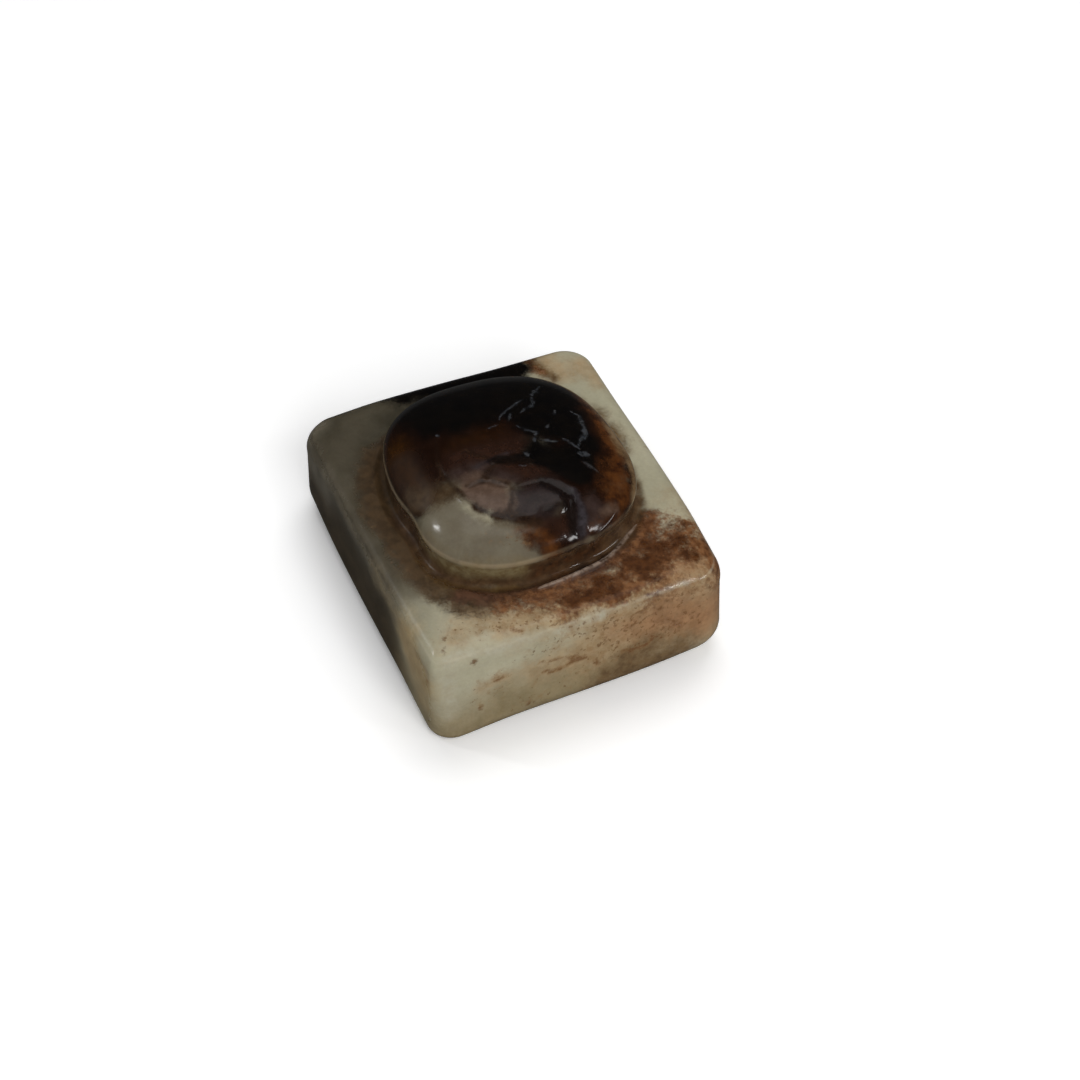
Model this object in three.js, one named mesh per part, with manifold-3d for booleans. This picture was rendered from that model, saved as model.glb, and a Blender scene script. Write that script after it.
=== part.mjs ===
// A seal stamp cut from one block of mottled jade: a rounded tablet, a low tortoise-shell knob
// standing in a shallow channel, and a seal face below with a key-fret cut into it.
// Dried vermilion paste lies in the fret. Millimetres, +Z up, the seal face on z = 0.
// The front edge runs along X and the left edge runs away along Y.

import * as THREE from "three";
import { mergeVertices } from "three/addons/utils/BufferGeometryUtils.js";
import Module from "manifold-3d";

const wasm = await Module();
wasm.setup();

// Tablet
const tabletWidth = 40.0; // along X, at half height
const tabletLength = 46.0; // along Y, at half height
const tabletHeight = 14.7; // at the middle of the platform
const leftOverRight = 0.7; // how much thicker the left side is than the right
const frontOverBack = 0.3; // how much thicker the front is than the back
const leftLongerBy = 1.3; // how much longer the left side is than the right
const baseFlare = 0.7; // how far the foot stands out past the top at each end
const sideBulge = 0.42; // how far the middle of each side swells

// Radius of the tablet's corners seen from above, at the platform and at the foot
const planCornerTop = { frontLeft: 1.2, frontRight: 3.6, backRight: 3.6, backLeft: 3.6 };
const planCornerFoot = { frontLeft: 3.0, frontRight: 3.6, backRight: 3.6, backLeft: 3.6 };

// Edge roundings, at the middle of the sides and at each corner
const topEdgeRound = 2.5;
const topCornerRound = { frontLeft: 3.0, frontRight: 4.0, backRight: 1.5, backLeft: 3.7 };
const baseEdgeRound = 3.1;
const baseCornerRound = { frontLeft: 1.6, frontRight: 3.7, backRight: 3.4, backLeft: 4.0 };
const cornerReach = 13; // degrees over which a corner's rounding fades into the edge's

// Knob
const knobWidth = 29.9;
const knobLength = 31.7;
const knobCentre = { x: 0.4, y: 1.4 };
const knobSquareness = 2.6; // 2 is an ellipse, larger is squarer
const knobFullness = { frontLeft: 0.085, frontRight: 0.015, backRight: -0.035, backLeft: -0.01 };
const wallHeight = 3.3; // from the platform up to the knob's rim
const wallHollow = 0.4; // how far the wall is hollowed in under the rim
const hollowHeight = 1.15; // where it is hollowed most, above the platform
const footTuck = 0.2; // how far the wall's foot stays inside the rim
const rimTuck = 0.2; // how far the wall is still inside where the rim's rounding begins
const rimRound = 0.9; // height of the rim's rounding below the dome
const rimCrest = 0.27; // how far below the dome the rim stands out most
const domeRise = 4.4; // from the rim up to the crown
const domeFlatness = 2.4; // larger keeps the middle of the dome flatter
const shoulderSoftness = 0.55; // smaller makes the dome's shoulder steeper
const flankPinch = { angle: -163, width: 13, depth: 0.9 }; // the waist in the left flank

// Channel round the knob's foot
const channelWidth = 1.1;
const channelDepth = 0.35;
const channelLip = 0.25; // how far the lip's rounding runs out on the platform
const lipDrop = 0.07;
const channelFloorAt = 0.4; // how far outside the rim's outline the channel is deepest
const footDepth = 0.1; // how far below the platform the wall begins

// Shell edge: the raised middle of the dome
const shellShare = 0.66; // its outline, as a share of the knob's
const shellStep = 0.3; // how high the shell stands over the skirt

// Seal face
const fretPitch = 3.4; // from one line of the fret to the next
const fretLine = 1.7; // width of a cut line
const fretDepth = 1.2;
const pasteThickness = 0.35;
const pasteSideGap = 0.25; // how far the shrunken paste stands off the sides of a line

// Steps of the surface: points round the tablet, rings over its edges, the profile from the
// platform through the channel to the rim (outside the rim's outline, above the platform),
// and the dome's rings as shares of the knob's outline
const sideSteps = 12;
const cornerSteps = 6;
const edgeSteps = 4;
const wallProfile = [
  [channelWidth + channelLip, 0],
  [channelWidth, -lipDrop],
  [channelFloorAt, -channelDepth],
  [-footTuck, -footDepth],
  [-wallHollow, hollowHeight],
  [-rimTuck, wallHeight - rimRound],
  [0, wallHeight - rimCrest],
];
const shellEdgeHalf = 0.02; // half the width of the shell's edge, as a share of the knob's outline
const domeShares = [0.985, 0.955, 0.9, 0.82, 0.74, shellShare + shellEdgeHalf];
domeShares.push(shellShare - shellEdgeHalf, 0.5, 0.32, 0.15);

const jadeMaterial = new THREE.MeshStandardMaterial({
  color: new THREE.Color(0.62, 0.58, 0.47),
  roughness: 0.22,
  metalness: 0,
});
const pasteMaterial = new THREE.MeshStandardMaterial({
  color: new THREE.Color(0.55, 0.09, 0.05),
  roughness: 0.8,
  metalness: 0,
});

// The four corners, as signs of x and y and the diagonal of the knob that looks at each
const corners = {
  frontLeft: { sx: -1, sy: -1, knobDiagonal: -130 },
  frontRight: { sx: 1, sy: -1, knobDiagonal: -50 },
  backRight: { sx: 1, sy: 1, knobDiagonal: 45 },
  backLeft: { sx: -1, sy: 1, knobDiagonal: 135 },
};

const degrees = THREE.MathUtils.radToDeg;
const radians = THREE.MathUtils.degToRad;

// Signed difference of two directions, between -180 and 180 degrees
function turnBetween(direction, centre) {
  return THREE.MathUtils.euclideanModulo(degrees(direction - centre) + 180, 360) - 180;
}

// Distance from the middle of a rounded rectangle to its outline in one direction
function outlineRadius(direction, halfWidth, halfLength, radius) {
  const cos = Math.abs(Math.cos(direction)) + 1e-9;
  const sin = Math.abs(Math.sin(direction)) + 1e-9;
  const toSide = halfWidth / cos;
  if (toSide * sin <= halfLength - radius) return toSide;
  const toEnd = halfLength / sin;
  if (toEnd * cos <= halfWidth - radius) return toEnd;
  const cx = halfWidth - radius;
  const cy = halfLength - radius;
  const along = cos * cx + sin * cy;
  return along + Math.sqrt(Math.max(along * along - cx * cx - cy * cy + radius * radius, 0));
}

// An edge's rounding in one direction: the edge's own, and near a corner that corner's
function roundingAt(direction, edgeRound, cornerRound) {
  let rounding = edgeRound;
  for (const [name, corner] of Object.entries(corners)) {
    const towards = Math.atan2(corner.sy * tabletLength, corner.sx * tabletWidth);
    const away = turnBetween(direction, towards) / cornerReach;
    rounding += (cornerRound[name] - edgeRound) * Math.exp(-away * away);
  }
  return rounding;
}

// How much lower the sloping platform lies at a place than at its middle
function slopeDrop(x, y) {
  return (leftOverRight * x) / tabletWidth + (frontOverBack * y) / tabletLength;
}

// The plan radius of the corner that a direction points to, at a level from 0, the foot, to 1
function cornerRadiusAt(direction, level) {
  const isHere = (corner) => Math.cos(direction) * corner.sx >= 0 && Math.sin(direction) * corner.sy >= 0;
  const name = Object.keys(corners).find((key) => isHere(corners[key]));
  return planCornerFoot[name] * (1 - level) + planCornerTop[name] * level;
}

// One point of the tablet, with the swell of its sides and its uneven length. Level is 0 at the
// foot and 1 at the platform, which slopes
function tabletPoint(direction, inset, flare, level, z) {
  const halfWidth = tabletWidth / 2;
  const halfLength = tabletLength / 2;
  const radius = cornerRadiusAt(direction, level);
  const reach = outlineRadius(direction, halfWidth - inset, halfLength + flare - inset, radius);
  const x = reach * Math.cos(direction);
  const y = reach * Math.sin(direction);
  const swellX = 1 + (sideBulge / halfWidth) * (1 - (y / halfLength) ** 2);
  const swellY = 1 + (sideBulge / halfLength) * (1 - (x / halfWidth) ** 2);
  const taper = 1 - ((leftLongerBy / tabletLength) * x) / tabletWidth;
  return new THREE.Vector3(x * swellX, y * swellY * taper, z - level * slopeDrop(x, y));
}

function knobReach(direction) {
  const alongX = Math.abs(Math.cos(direction) / (knobWidth / 2)) ** knobSquareness;
  const alongY = Math.abs(Math.sin(direction) / (knobLength / 2)) ** knobSquareness;
  let fullness = 1;
  for (const [name, corner] of Object.entries(corners)) {
    const facing = Math.max(0, Math.cos(direction - radians(corner.knobDiagonal)));
    fullness += knobFullness[name] * facing ** 3;
  }
  const away = turnBetween(direction, radians(flankPinch.angle)) / flankPinch.width;
  const pinch = flankPinch.depth * Math.exp(-away * away);
  return (alongX + alongY) ** (-1 / knobSquareness) * fullness - pinch;
}

// One point of the knob: a share of its outline or a step outside it, above the platform
function knobPoint(direction, share, outside, height) {
  const reach = knobReach(direction) * share + outside;
  const x = knobCentre.x + reach * Math.cos(direction);
  const y = knobCentre.y + reach * Math.sin(direction);
  return new THREE.Vector3(x, y, tabletHeight - slopeDrop(x, y) + height);
}

function domeHeight(share) {
  const rise = domeRise * (1 - share ** domeFlatness) ** shoulderSoftness;
  return wallHeight + rise + (share < shellShare ? shellStep : 0);
}

// Directions in which every ring has its points, closer together at the tablet's corners,
// whose radius is taken at half height
function ringDirections() {
  const directions = [];
  const order = ["frontRight", "backRight", "backLeft", "frontLeft"];
  const radiusOf = (name) => (planCornerTop[name] + planCornerFoot[name]) / 2;
  const middleOf = (name) => {
    const x = corners[name].sx * (tabletWidth / 2 - radiusOf(name));
    const y = corners[name].sy * (tabletLength / 2 - radiusOf(name));
    return new THREE.Vector2(x, y);
  };
  order.forEach((name, i) => {
    const start = radians(-90 + 90 * i);
    const out = new THREE.Vector2(Math.cos(start), Math.sin(start));
    const last = order[(i + 3) % 4];
    const from = middleOf(last).addScaledVector(out, radiusOf(last));
    const to = middleOf(name).addScaledVector(out, radiusOf(name));
    for (let step = 1; step < sideSteps; step += 1) {
      directions.push(from.clone().lerp(to, step / sideSteps).angle());
    }
    for (let step = 0; step <= cornerSteps; step += 1) {
      const turn = start + ((Math.PI / 2) * step) / cornerSteps;
      const arm = new THREE.Vector2(Math.cos(turn), Math.sin(turn)).multiplyScalar(radiusOf(name));
      directions.push(middleOf(name).add(arm).angle());
    }
  });
  return directions;
}

// A closed body from rings stacked upwards, with a point at the middle of each end
function loftRings(rings, bottomCentre, topCentre) {
  const positions = [];
  const indices = [];
  const count = rings[0].length;
  for (const ring of rings) {
    for (const point of ring) positions.push(point.x, point.y, point.z);
  }
  const bottom = positions.length / 3;
  positions.push(bottomCentre.x, bottomCentre.y, bottomCentre.z);
  const top = bottom + 1;
  positions.push(topCentre.x, topCentre.y, topCentre.z);
  const lastRing = (rings.length - 1) * count;
  for (let i = 0; i < count; i += 1) {
    const next = (i + 1) % count;
    for (let ring = 0; ring < rings.length - 1; ring += 1) {
      const here = ring * count;
      const above = here + count;
      indices.push(here + i, here + next, above + next);
      indices.push(here + i, above + next, above + i);
    }
    indices.push(bottom, next, i);
    indices.push(top, lastRing + i, lastRing + next);
  }
  const geometry = new THREE.BufferGeometry();
  geometry.setAttribute("position", new THREE.Float32BufferAttribute(positions, 3));
  geometry.setIndex(indices);
  return geometry;
}

// The rings of the stone, from the seal face up over the tablet and the knob to the crown
function stoneRings() {
  const directions = ringDirections();
  const rings = [];
  const addTabletRing = (place) => rings.push(directions.map(place));
  for (let step = 0; step <= edgeSteps; step += 1) {
    const turn = ((Math.PI / 2) * step) / edgeSteps;
    addTabletRing((direction) => {
      const rounding = roundingAt(direction, baseEdgeRound, baseCornerRound);
      const inset = rounding * (1 - Math.sin(turn));
      return tabletPoint(direction, inset, baseFlare, 0, rounding * (1 - Math.cos(turn)));
    });
  }
  for (let step = 0; step <= edgeSteps; step += 1) {
    const turn = ((Math.PI / 2) * step) / edgeSteps;
    addTabletRing((direction) => {
      const rounding = roundingAt(direction, topEdgeRound, topCornerRound);
      const inset = rounding * (1 - Math.cos(turn));
      const z = tabletHeight - rounding * (1 - Math.sin(turn));
      return tabletPoint(direction, inset, 0, 1, z);
    });
  }
  const addKnobRing = (share, outside, height) => {
    rings.push(directions.map((direction) => knobPoint(direction, share, outside, height)));
  };
  for (const [outside, height] of wallProfile) addKnobRing(1, outside, height);
  for (const share of domeShares) addKnobRing(share, 0, domeHeight(share));
  return rings;
}

function solidOf(geometry) {
  const bare = geometry.clone();
  bare.deleteAttribute("normal");
  bare.deleteAttribute("uv");
  const merged = mergeVertices(bare, 1e-4);
  const mesh = new wasm.Mesh({
    numProp: 3,
    vertProperties: new Float32Array(merged.attributes.position.array),
    triVerts: new Uint32Array(merged.index.array),
  });
  return new wasm.Manifold(mesh);
}

function geometryOf(solid) {
  const mesh = solid.getMesh();
  const geometry = new THREE.BufferGeometry();
  geometry.setAttribute("position", new THREE.BufferAttribute(new Float32Array(mesh.vertProperties), 3));
  geometry.setIndex(new THREE.BufferAttribute(new Uint32Array(mesh.triVerts), 1));
  return geometry;
}

// The fret's paths, in steps of its pitch: a frame, a bar across it, and a square spiral
// that runs in from the frame, with the same spiral turned half round below the bar
const frameSteps = [[-4, -5], [4, -5], [4, 5], [-4, 5], [-4, -5]];
const barSteps = [[-4, 0], [4, 0]];
const spiralSteps = [[4, 1], [-3, 1], [-3, 4], [3, 4], [3, 2], [-2, 2], [-2, 3], [2, 3]];
const turnedSteps = spiralSteps.map(([x, y]) => [-x, -y]);
const fretPaths = [frameSteps, barSteps, spiralSteps, turnedSteps];

// All of the fret's lines as one solid of a given line width, between two heights
function fretSolid(lineWidth, bottom, top) {
  let solid = null;
  for (const path of fretPaths) {
    for (let i = 0; i + 1 < path.length; i += 1) {
      const [x0, y0] = path[i].map((steps) => steps * fretPitch);
      const [x1, y1] = path[i + 1].map((steps) => steps * fretPitch);
      const width = Math.abs(x1 - x0) + lineWidth;
      const length = Math.abs(y1 - y0) + lineWidth;
      const strip = new THREE.BoxGeometry(width, length, top - bottom);
      strip.translate((x0 + x1) / 2, (y0 + y1) / 2, (bottom + top) / 2);
      solid = solid ? solid.add(solidOf(strip)) : solidOf(strip);
    }
  }
  return solid;
}

function sealStone() {
  const crown = new THREE.Vector3(knobCentre.x, knobCentre.y, 0);
  crown.z = tabletHeight - slopeDrop(crown.x, crown.y) + domeHeight(0);
  const block = solidOf(loftRings(stoneRings(), new THREE.Vector3(0, 0, 0), crown));
  const cutBelow = 1;
  return geometryOf(block.subtract(fretSolid(fretLine, -cutBelow, fretDepth)));
}

function sealPaste() {
  return geometryOf(fretSolid(fretLine - 2 * pasteSideGap, fretDepth - pasteThickness, fretDepth));
}

const group = new THREE.Group();

const stone = new THREE.Mesh(sealStone(), jadeMaterial);
stone.name = "seal_stone";
group.add(stone);

const paste = new THREE.Mesh(sealPaste(), pasteMaterial);
paste.name = "seal_paste";
group.add(paste);

export default group;
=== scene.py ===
# %% [markdown]
# # A hand seal carved from one jade pebble
#
# The object is a flat, rounded tablet of mottled jade. A low knob in the form of a worn
# tortoise shell stands in a shallow channel on top of it, and a key-fret is cut into the seal
# face below, with dried vermilion paste left in its lines. It is one stone, so the lesson is
# about one fine surface: first its shape, then the carver's strokes, then the colours that a
# buried pebble takes on.
#
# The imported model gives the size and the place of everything. Lengths in this file are in
# millimetres, and become Blender's metres only where a mesh is made.

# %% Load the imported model
import math

import bpy
import numpy as np
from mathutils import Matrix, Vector, noise
from mathutils.bvhtree import BVHTree


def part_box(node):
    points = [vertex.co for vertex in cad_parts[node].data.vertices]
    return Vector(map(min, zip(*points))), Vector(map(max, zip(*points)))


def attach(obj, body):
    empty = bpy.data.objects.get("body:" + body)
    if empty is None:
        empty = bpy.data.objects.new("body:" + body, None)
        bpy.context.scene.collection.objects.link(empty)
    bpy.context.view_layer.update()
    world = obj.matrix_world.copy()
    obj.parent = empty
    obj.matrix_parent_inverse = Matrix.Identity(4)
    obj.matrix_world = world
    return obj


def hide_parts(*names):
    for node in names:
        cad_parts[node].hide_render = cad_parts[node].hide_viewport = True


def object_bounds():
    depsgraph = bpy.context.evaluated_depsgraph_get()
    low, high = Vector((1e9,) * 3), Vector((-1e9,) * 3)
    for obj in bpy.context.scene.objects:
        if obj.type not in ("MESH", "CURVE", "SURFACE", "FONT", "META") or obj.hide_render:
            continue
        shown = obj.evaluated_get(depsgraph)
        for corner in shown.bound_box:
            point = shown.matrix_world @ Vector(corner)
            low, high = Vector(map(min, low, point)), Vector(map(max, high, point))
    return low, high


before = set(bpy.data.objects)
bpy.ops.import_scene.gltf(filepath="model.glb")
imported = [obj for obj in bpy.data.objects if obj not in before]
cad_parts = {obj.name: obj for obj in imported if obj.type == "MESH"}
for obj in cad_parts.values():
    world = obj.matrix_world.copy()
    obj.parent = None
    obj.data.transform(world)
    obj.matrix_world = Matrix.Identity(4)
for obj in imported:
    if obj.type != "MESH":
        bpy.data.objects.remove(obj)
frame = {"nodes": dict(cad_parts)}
cad_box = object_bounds()
MM = 0.001
print("nodes in the frame:", ", ".join(frame["nodes"]))


# %% [markdown]
# ## The sizes of the stone
#
# A block ground by hand has no two edges alike. The foot is a little longer than the top, the
# sides swell, the left side is longer and thicker than the right, and every corner is rounded
# by its own amount. These are real sizes, the same as in the model. The fine surface made from
# them is kept from rising above the top of the model's box.

# %% Sizes of the tablet
tablet_width = 40.0
tablet_length = 46.0
tablet_height = 14.7
left_over_right = 0.7
front_over_back = 0.3
left_longer_by = 1.3
base_flare = 0.7
side_bulge = 0.42
# the corners' radius seen from above, at the platform and at the foot
plan_corner_top = {"front left": 1.2, "front right": 3.6, "back right": 3.6, "back left": 3.6}
plan_corner_foot = {"front left": 3.0, "front right": 3.6, "back right": 3.6, "back left": 3.6}
top_edge_round = 2.5
top_corner_round = {"front left": 3.0, "front right": 4.0, "back right": 1.5, "back left": 3.7}
base_edge_round = 3.1
base_corner_round = {"front left": 1.6, "front right": 3.7, "back right": 3.4, "back left": 4.0}
corner_reach = 13
# the crisp line where the platform's polish ends, as a place on the edge's rounding
crease_turn = 40
crease_lift = 0.08

# %% Sizes of the knob and its channel
knob_width = 29.9
knob_length = 31.7
knob_centre = (0.4, 1.4)
knob_squareness = 2.6
knob_fullness = {-130: 0.085, -50: 0.015, 45: -0.035, 135: -0.01}
flank_pinch = {"towards": -163, "reach": 13, "depth": 0.9}
wall_height = 3.3
dome_rise = 4.4
dome_flatness = 2.4
shoulder_softness = 0.55
# outwards from the rim's outline and up from the platform: lip, channel, hollow wall, rim
wall_profile = [
    (1.35, 0.0), (1.1, -0.07), (0.4, -0.35), (-0.2, -0.1), (-0.4, 1.15), (-0.2, 2.4), (0.0, 3.03)
]
# where the shell's edge runs, as a share of the knob's outline in each direction
shell_edge = {-180: 0.62, -142: 0.63, -118: 0.74, -100: 0.79, -60: 0.75, 0: 0.68, 90: 0.64, 152: 0.58}
shell_step = 0.3
# how softly that edge falls in each direction: crisp at the front left, worn away at the back
shell_edge_width = {-180: 0.16, -140: 0.09, -90: 0.09, -60: 0.25, -20: 0.6, 90: 0.6, 150: 0.35}

# %% [markdown]
# ## Rings round the stone
#
# A fine shell with undercut walls can't be a height map, so it is lofted: rings of points run
# round the stone, one above the other, and neighbours are joined by faces. Each ring is one
# formula worked out for all directions at once, which numpy does in a blink. The directions
# lie evenly along the tablet's outline and twice as close on its corners.

# %% Outline of the tablet
def near(direction, towards, reach):
    """1 in one direction, in degrees, and falling to 0 on both sides of it"""
    away = (np.degrees(direction) - towards + 180) % 360 - 180
    return np.exp(-((away / reach) ** 2))


def outline(direction, half_width, half_length, radius):
    """Distance from the middle to the outline of a rounded rectangle"""
    cos = np.abs(np.cos(direction)) + 1e-9
    sin = np.abs(np.sin(direction)) + 1e-9
    side_reach = half_width / cos
    end_reach = half_length / sin
    cx = half_width - radius
    cy = half_length - radius
    along = cos * cx + sin * cy
    round_reach = along + np.sqrt(np.maximum(along**2 - cx**2 - cy**2 + radius**2, 0))
    reach = np.where(end_reach * cos <= half_width - radius, end_reach, round_reach)
    return np.where(side_reach * sin <= half_length - radius, side_reach, reach)


def corner_signs(name):
    """Which way a corner lies along x and along y"""
    return -1 if "left" in name else 1, -1 if "front" in name else 1


def corner_direction(name):
    """Where a corner of the tablet lies, in degrees"""
    sx, sy = corner_signs(name)
    return math.degrees(math.atan2(sy * tablet_length, sx * tablet_width))


def corner_radius(direction, level):
    """The plan radius of the corner in each direction, at a level from 0 (foot) to 1 (platform)"""
    radius = 0 * direction
    for name in plan_corner_top:
        sx, sy = corner_signs(name)
        here = (np.cos(direction) * sx >= 0) & (np.sin(direction) * sy >= 0)
        mixed = plan_corner_foot[name] * (1 - level) + plan_corner_top[name] * level
        radius = np.where(here, mixed, radius)
    return radius


def rounding(direction, edge, corners):
    """An edge's rounding, which fades into that of each corner"""
    radius = edge + 0 * direction
    for name, corner in corners.items():
        radius = radius + (corner - edge) * near(direction, corner_direction(name), corner_reach)
    return radius


# %% Directions of the rings
RING_POINTS = 512
CORNER_WEIGHT = 4.0


def ring_directions(count):
    """Directions evenly spaced along the outline, and closer where it turns"""
    fine = np.linspace(-math.pi, math.pi, 8001)
    reach = outline(fine, tablet_width / 2, tablet_length / 2, corner_radius(fine, 0.5))
    x = reach * np.cos(fine)
    y = reach * np.sin(fine)
    heading = np.unwrap(np.arctan2(np.diff(y), np.diff(x)))
    turning = np.abs(np.diff(heading, append=heading[-1]))
    run = np.cumsum(np.hypot(np.diff(x), np.diff(y)) + CORNER_WEIGHT * turning)
    run = np.concatenate([[0], run])
    return np.interp(np.arange(count) * run[-1] / count, run, fine)


directions = ring_directions(RING_POINTS)
print("directions round the stone:", len(directions))


# %% Rings of the tablet
def platform_height(x, y):
    """The platform slopes down a little to the right and to the back"""
    return tablet_height - left_over_right * x / tablet_width - front_over_back * y / tablet_length


def tablet_ring(inset, flare, level, z):
    """A ring of the tablet, with its swollen sides and uneven length"""
    half_width = tablet_width / 2
    half_length = tablet_length / 2
    radius = corner_radius(directions, level)
    reach = outline(directions, half_width - inset, half_length + flare - inset, radius)
    x = reach * np.cos(directions)
    y = reach * np.sin(directions)
    swell_x = 1 + side_bulge / half_width * (1 - (y / half_length) ** 2)
    swell_y = 1 + side_bulge / half_length * (1 - (x / half_width) ** 2)
    taper = 1 - left_longer_by / tablet_length * x / tablet_width
    drop = (tablet_height - platform_height(x, y)) * level
    return np.stack([x * swell_x, y * swell_y * taper, z - drop + 0 * x], axis=1)


def foot_ring(turn):
    """A ring of the lower rounding: turn 0 on the seal face, 90 on the side"""
    radius = rounding(directions, base_edge_round, base_corner_round)
    inset = radius * (1 - math.sin(math.radians(turn)))
    return tablet_ring(inset, base_flare, 0, radius * (1 - math.cos(math.radians(turn))))


def edge_ring(turn):
    """A ring of the upper rounding: turn 0 on the side, 90 on the platform"""
    radius = rounding(directions, top_edge_round, top_corner_round)
    towards = turn / crease_turn if turn < crease_turn else (90 - turn) / (90 - crease_turn)
    out = 1 + crease_lift * towards
    inset = radius * (1 - out * math.cos(math.radians(turn)))
    z = tablet_height - radius * (1 - out * math.sin(math.radians(turn)))
    return tablet_ring(inset, 0, 1, z)


# %% Rings of the knob
def knob_reach(direction):
    """Distance from the knob's centre to its outline: an uneven, squarish oval"""
    along_x = np.abs(np.cos(direction) / (knob_width / 2)) ** knob_squareness
    along_y = np.abs(np.sin(direction) / (knob_length / 2)) ** knob_squareness
    fullness = 1 + 0 * direction
    for towards, more in knob_fullness.items():
        fullness = fullness + more * np.maximum(0, np.cos(direction - math.radians(towards))) ** 3
    pinch = flank_pinch["depth"] * near(direction, flank_pinch["towards"], flank_pinch["reach"])
    return (along_x + along_y) ** (-1 / knob_squareness) * fullness - pinch


def knob_ring(share, outside, height):
    """A ring at a share of the knob's outline, or a step outside it"""
    reach = knob_reach(directions) * share + outside
    x = knob_centre[0] + reach * np.cos(directions)
    y = knob_centre[1] + reach * np.sin(directions)
    return np.stack([x, y, platform_height(x, y) + height], axis=1)


def round_the_knob(values):
    """Values given for a few directions, in degrees, smoothed for all of them"""
    towards = sorted(values)
    angles = np.degrees(directions)[:, None] + np.linspace(-15, 15, 7)
    return np.interp(angles, towards, [values[t] for t in towards], period=360).mean(axis=1)


def dome_height(share):
    """The dome over the rim, with the shell's step"""
    rise = dome_rise * (1 - share**dome_flatness) ** shoulder_softness
    inside = np.clip((round_the_knob(shell_edge) - share) / round_the_knob(shell_edge_width) + 0.5, 0, 1)
    return wall_height + rise + shell_step * inside**2 * (3 - 2 * inside)


# %% [markdown]
# ## A smooth line through a few points
#
# The wall's profile, and later every stroke of the graver, is a handful of points that a
# smooth line has to pass through. A Catmull-Rom spline does that. Its points are then spaced
# evenly, so that rings and strokes are as fine everywhere.

# %% Smooth lines
def spaced(points, spacing):
    """The same line with its points evenly spaced"""
    points = np.asarray(points, float)
    steps = np.linalg.norm(np.diff(points, axis=0), axis=1)
    run = np.concatenate([[0], np.cumsum(steps)])
    count = max(int(round(run[-1] / spacing)), 1) + 1
    at = np.linspace(0, run[-1], count)
    return np.stack([np.interp(at, run, column) for column in points.T], axis=1)


def smooth_line(points, spacing):
    """A Catmull-Rom spline through the points, evenly spaced"""
    p = np.asarray(points, float)
    if len(p) < 3:
        return spaced(p, spacing)
    p = np.vstack([2 * p[0] - p[1], p, 2 * p[-1] - p[-2]])
    t = np.linspace(0, 1, 16, endpoint=False)[:, None]
    pieces = []
    for a, b, c, d in zip(p, p[1:], p[2:], p[3:]):
        bend = (2 * a - 5 * b + 4 * c - d) * t**2 + (3 * b - a - 3 * c + d) * t**3
        pieces.append(0.5 * (2 * b + (c - a) * t + bend))
    return spaced(np.vstack(pieces + [p[-2:-1]]), spacing)


# %% [markdown]
# ## Stack the rings
#
# From below: the flat seal face, the rounding of the foot, the sides, the rounding of the top
# edge with its crisp line, the platform, the channel with the knob's hollowed wall, and the
# dome. Towards a centre the rings shrink, so every second point is dropped there again and
# again, and the faces stay about as large as elsewhere.

# %% Stack the rings
DOME_SPACING = 0.2
WALL_SPACING = 0.2
THIN_AT = (0.5, 0.25, 0.12, 0.06)


def thinning(share):
    """How many points of a full ring stand for one, at a share of the full radius"""
    return 2 ** sum(share < limit for limit in THIN_AT)


def face_rings():
    """The seal face, from its centre outwards"""
    edge = foot_ring(0)
    shares = np.linspace(0.03, 0.97, 24)
    return [edge[:: thinning(share)] * [share, share, 1] for share in shares]


def side_rings():
    """Foot, side and top edge"""
    rings = [foot_ring(turn) for turn in np.linspace(0, 90, 11)]
    bottom = rings[-1]
    top = edge_ring(0)
    rings += [bottom + (top - bottom) * share for share in np.linspace(0, 1, 21)[1:-1]]
    turns = np.concatenate([np.linspace(0, 37, 9), [38.6, 40, 41.4], np.linspace(43, 90, 10)])
    return rings + [edge_ring(turn) for turn in turns]


def platform_rings():
    """The platform, from the top edge to the channel's lip"""
    outer = edge_ring(90)
    inner = knob_ring(1, *wall_profile[0])
    return [outer + (inner - outer) * share for share in np.linspace(0, 1, 19)[1:-1]]


def dome_shares():
    """Shares of the knob's outline that are evenly spaced over the dome"""
    share = np.linspace(0.999, 0.015, 800)
    rise = dome_rise * (1 - share**dome_flatness) ** shoulder_softness
    profile = spaced(np.stack([share * knob_length / 2, rise], axis=1), DOME_SPACING)
    return profile[:, 0] / (knob_length / 2)


def knob_rings():
    """The channel, the wall and the dome"""
    rings = [knob_ring(1, *point) for point in smooth_line(wall_profile, WALL_SPACING)]
    rim = rings[-1]
    for share in dome_shares():
        ring = knob_ring(share, 0, dome_height(share))
        rings.append(ring[:: thinning(share)])
    print("the rim lies", round(float(rings[-1][:, 2].max() - rim[:, 2].max()), 2), "mm below the crown")
    return rings


# %% Loft the stone
def strip_faces(outer_start, outer_count, inner_start, inner_count):
    """Faces between two neighbouring rings, the second as many points or half as many"""
    outer = lambda i: outer_start + i % outer_count
    inner = lambda i: inner_start + i % inner_count
    if outer_count == inner_count:
        return [(outer(i), outer(i + 1), inner(i + 1), inner(i)) for i in range(outer_count)]
    faces = []
    for i in range(inner_count):
        a, b, c = outer(2 * i), outer(2 * i + 1), outer(2 * i + 2)
        faces += [(a, b, inner(i)), (b, inner(i + 1), inner(i)), (b, c, inner(i + 1))]
    return faces


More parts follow.
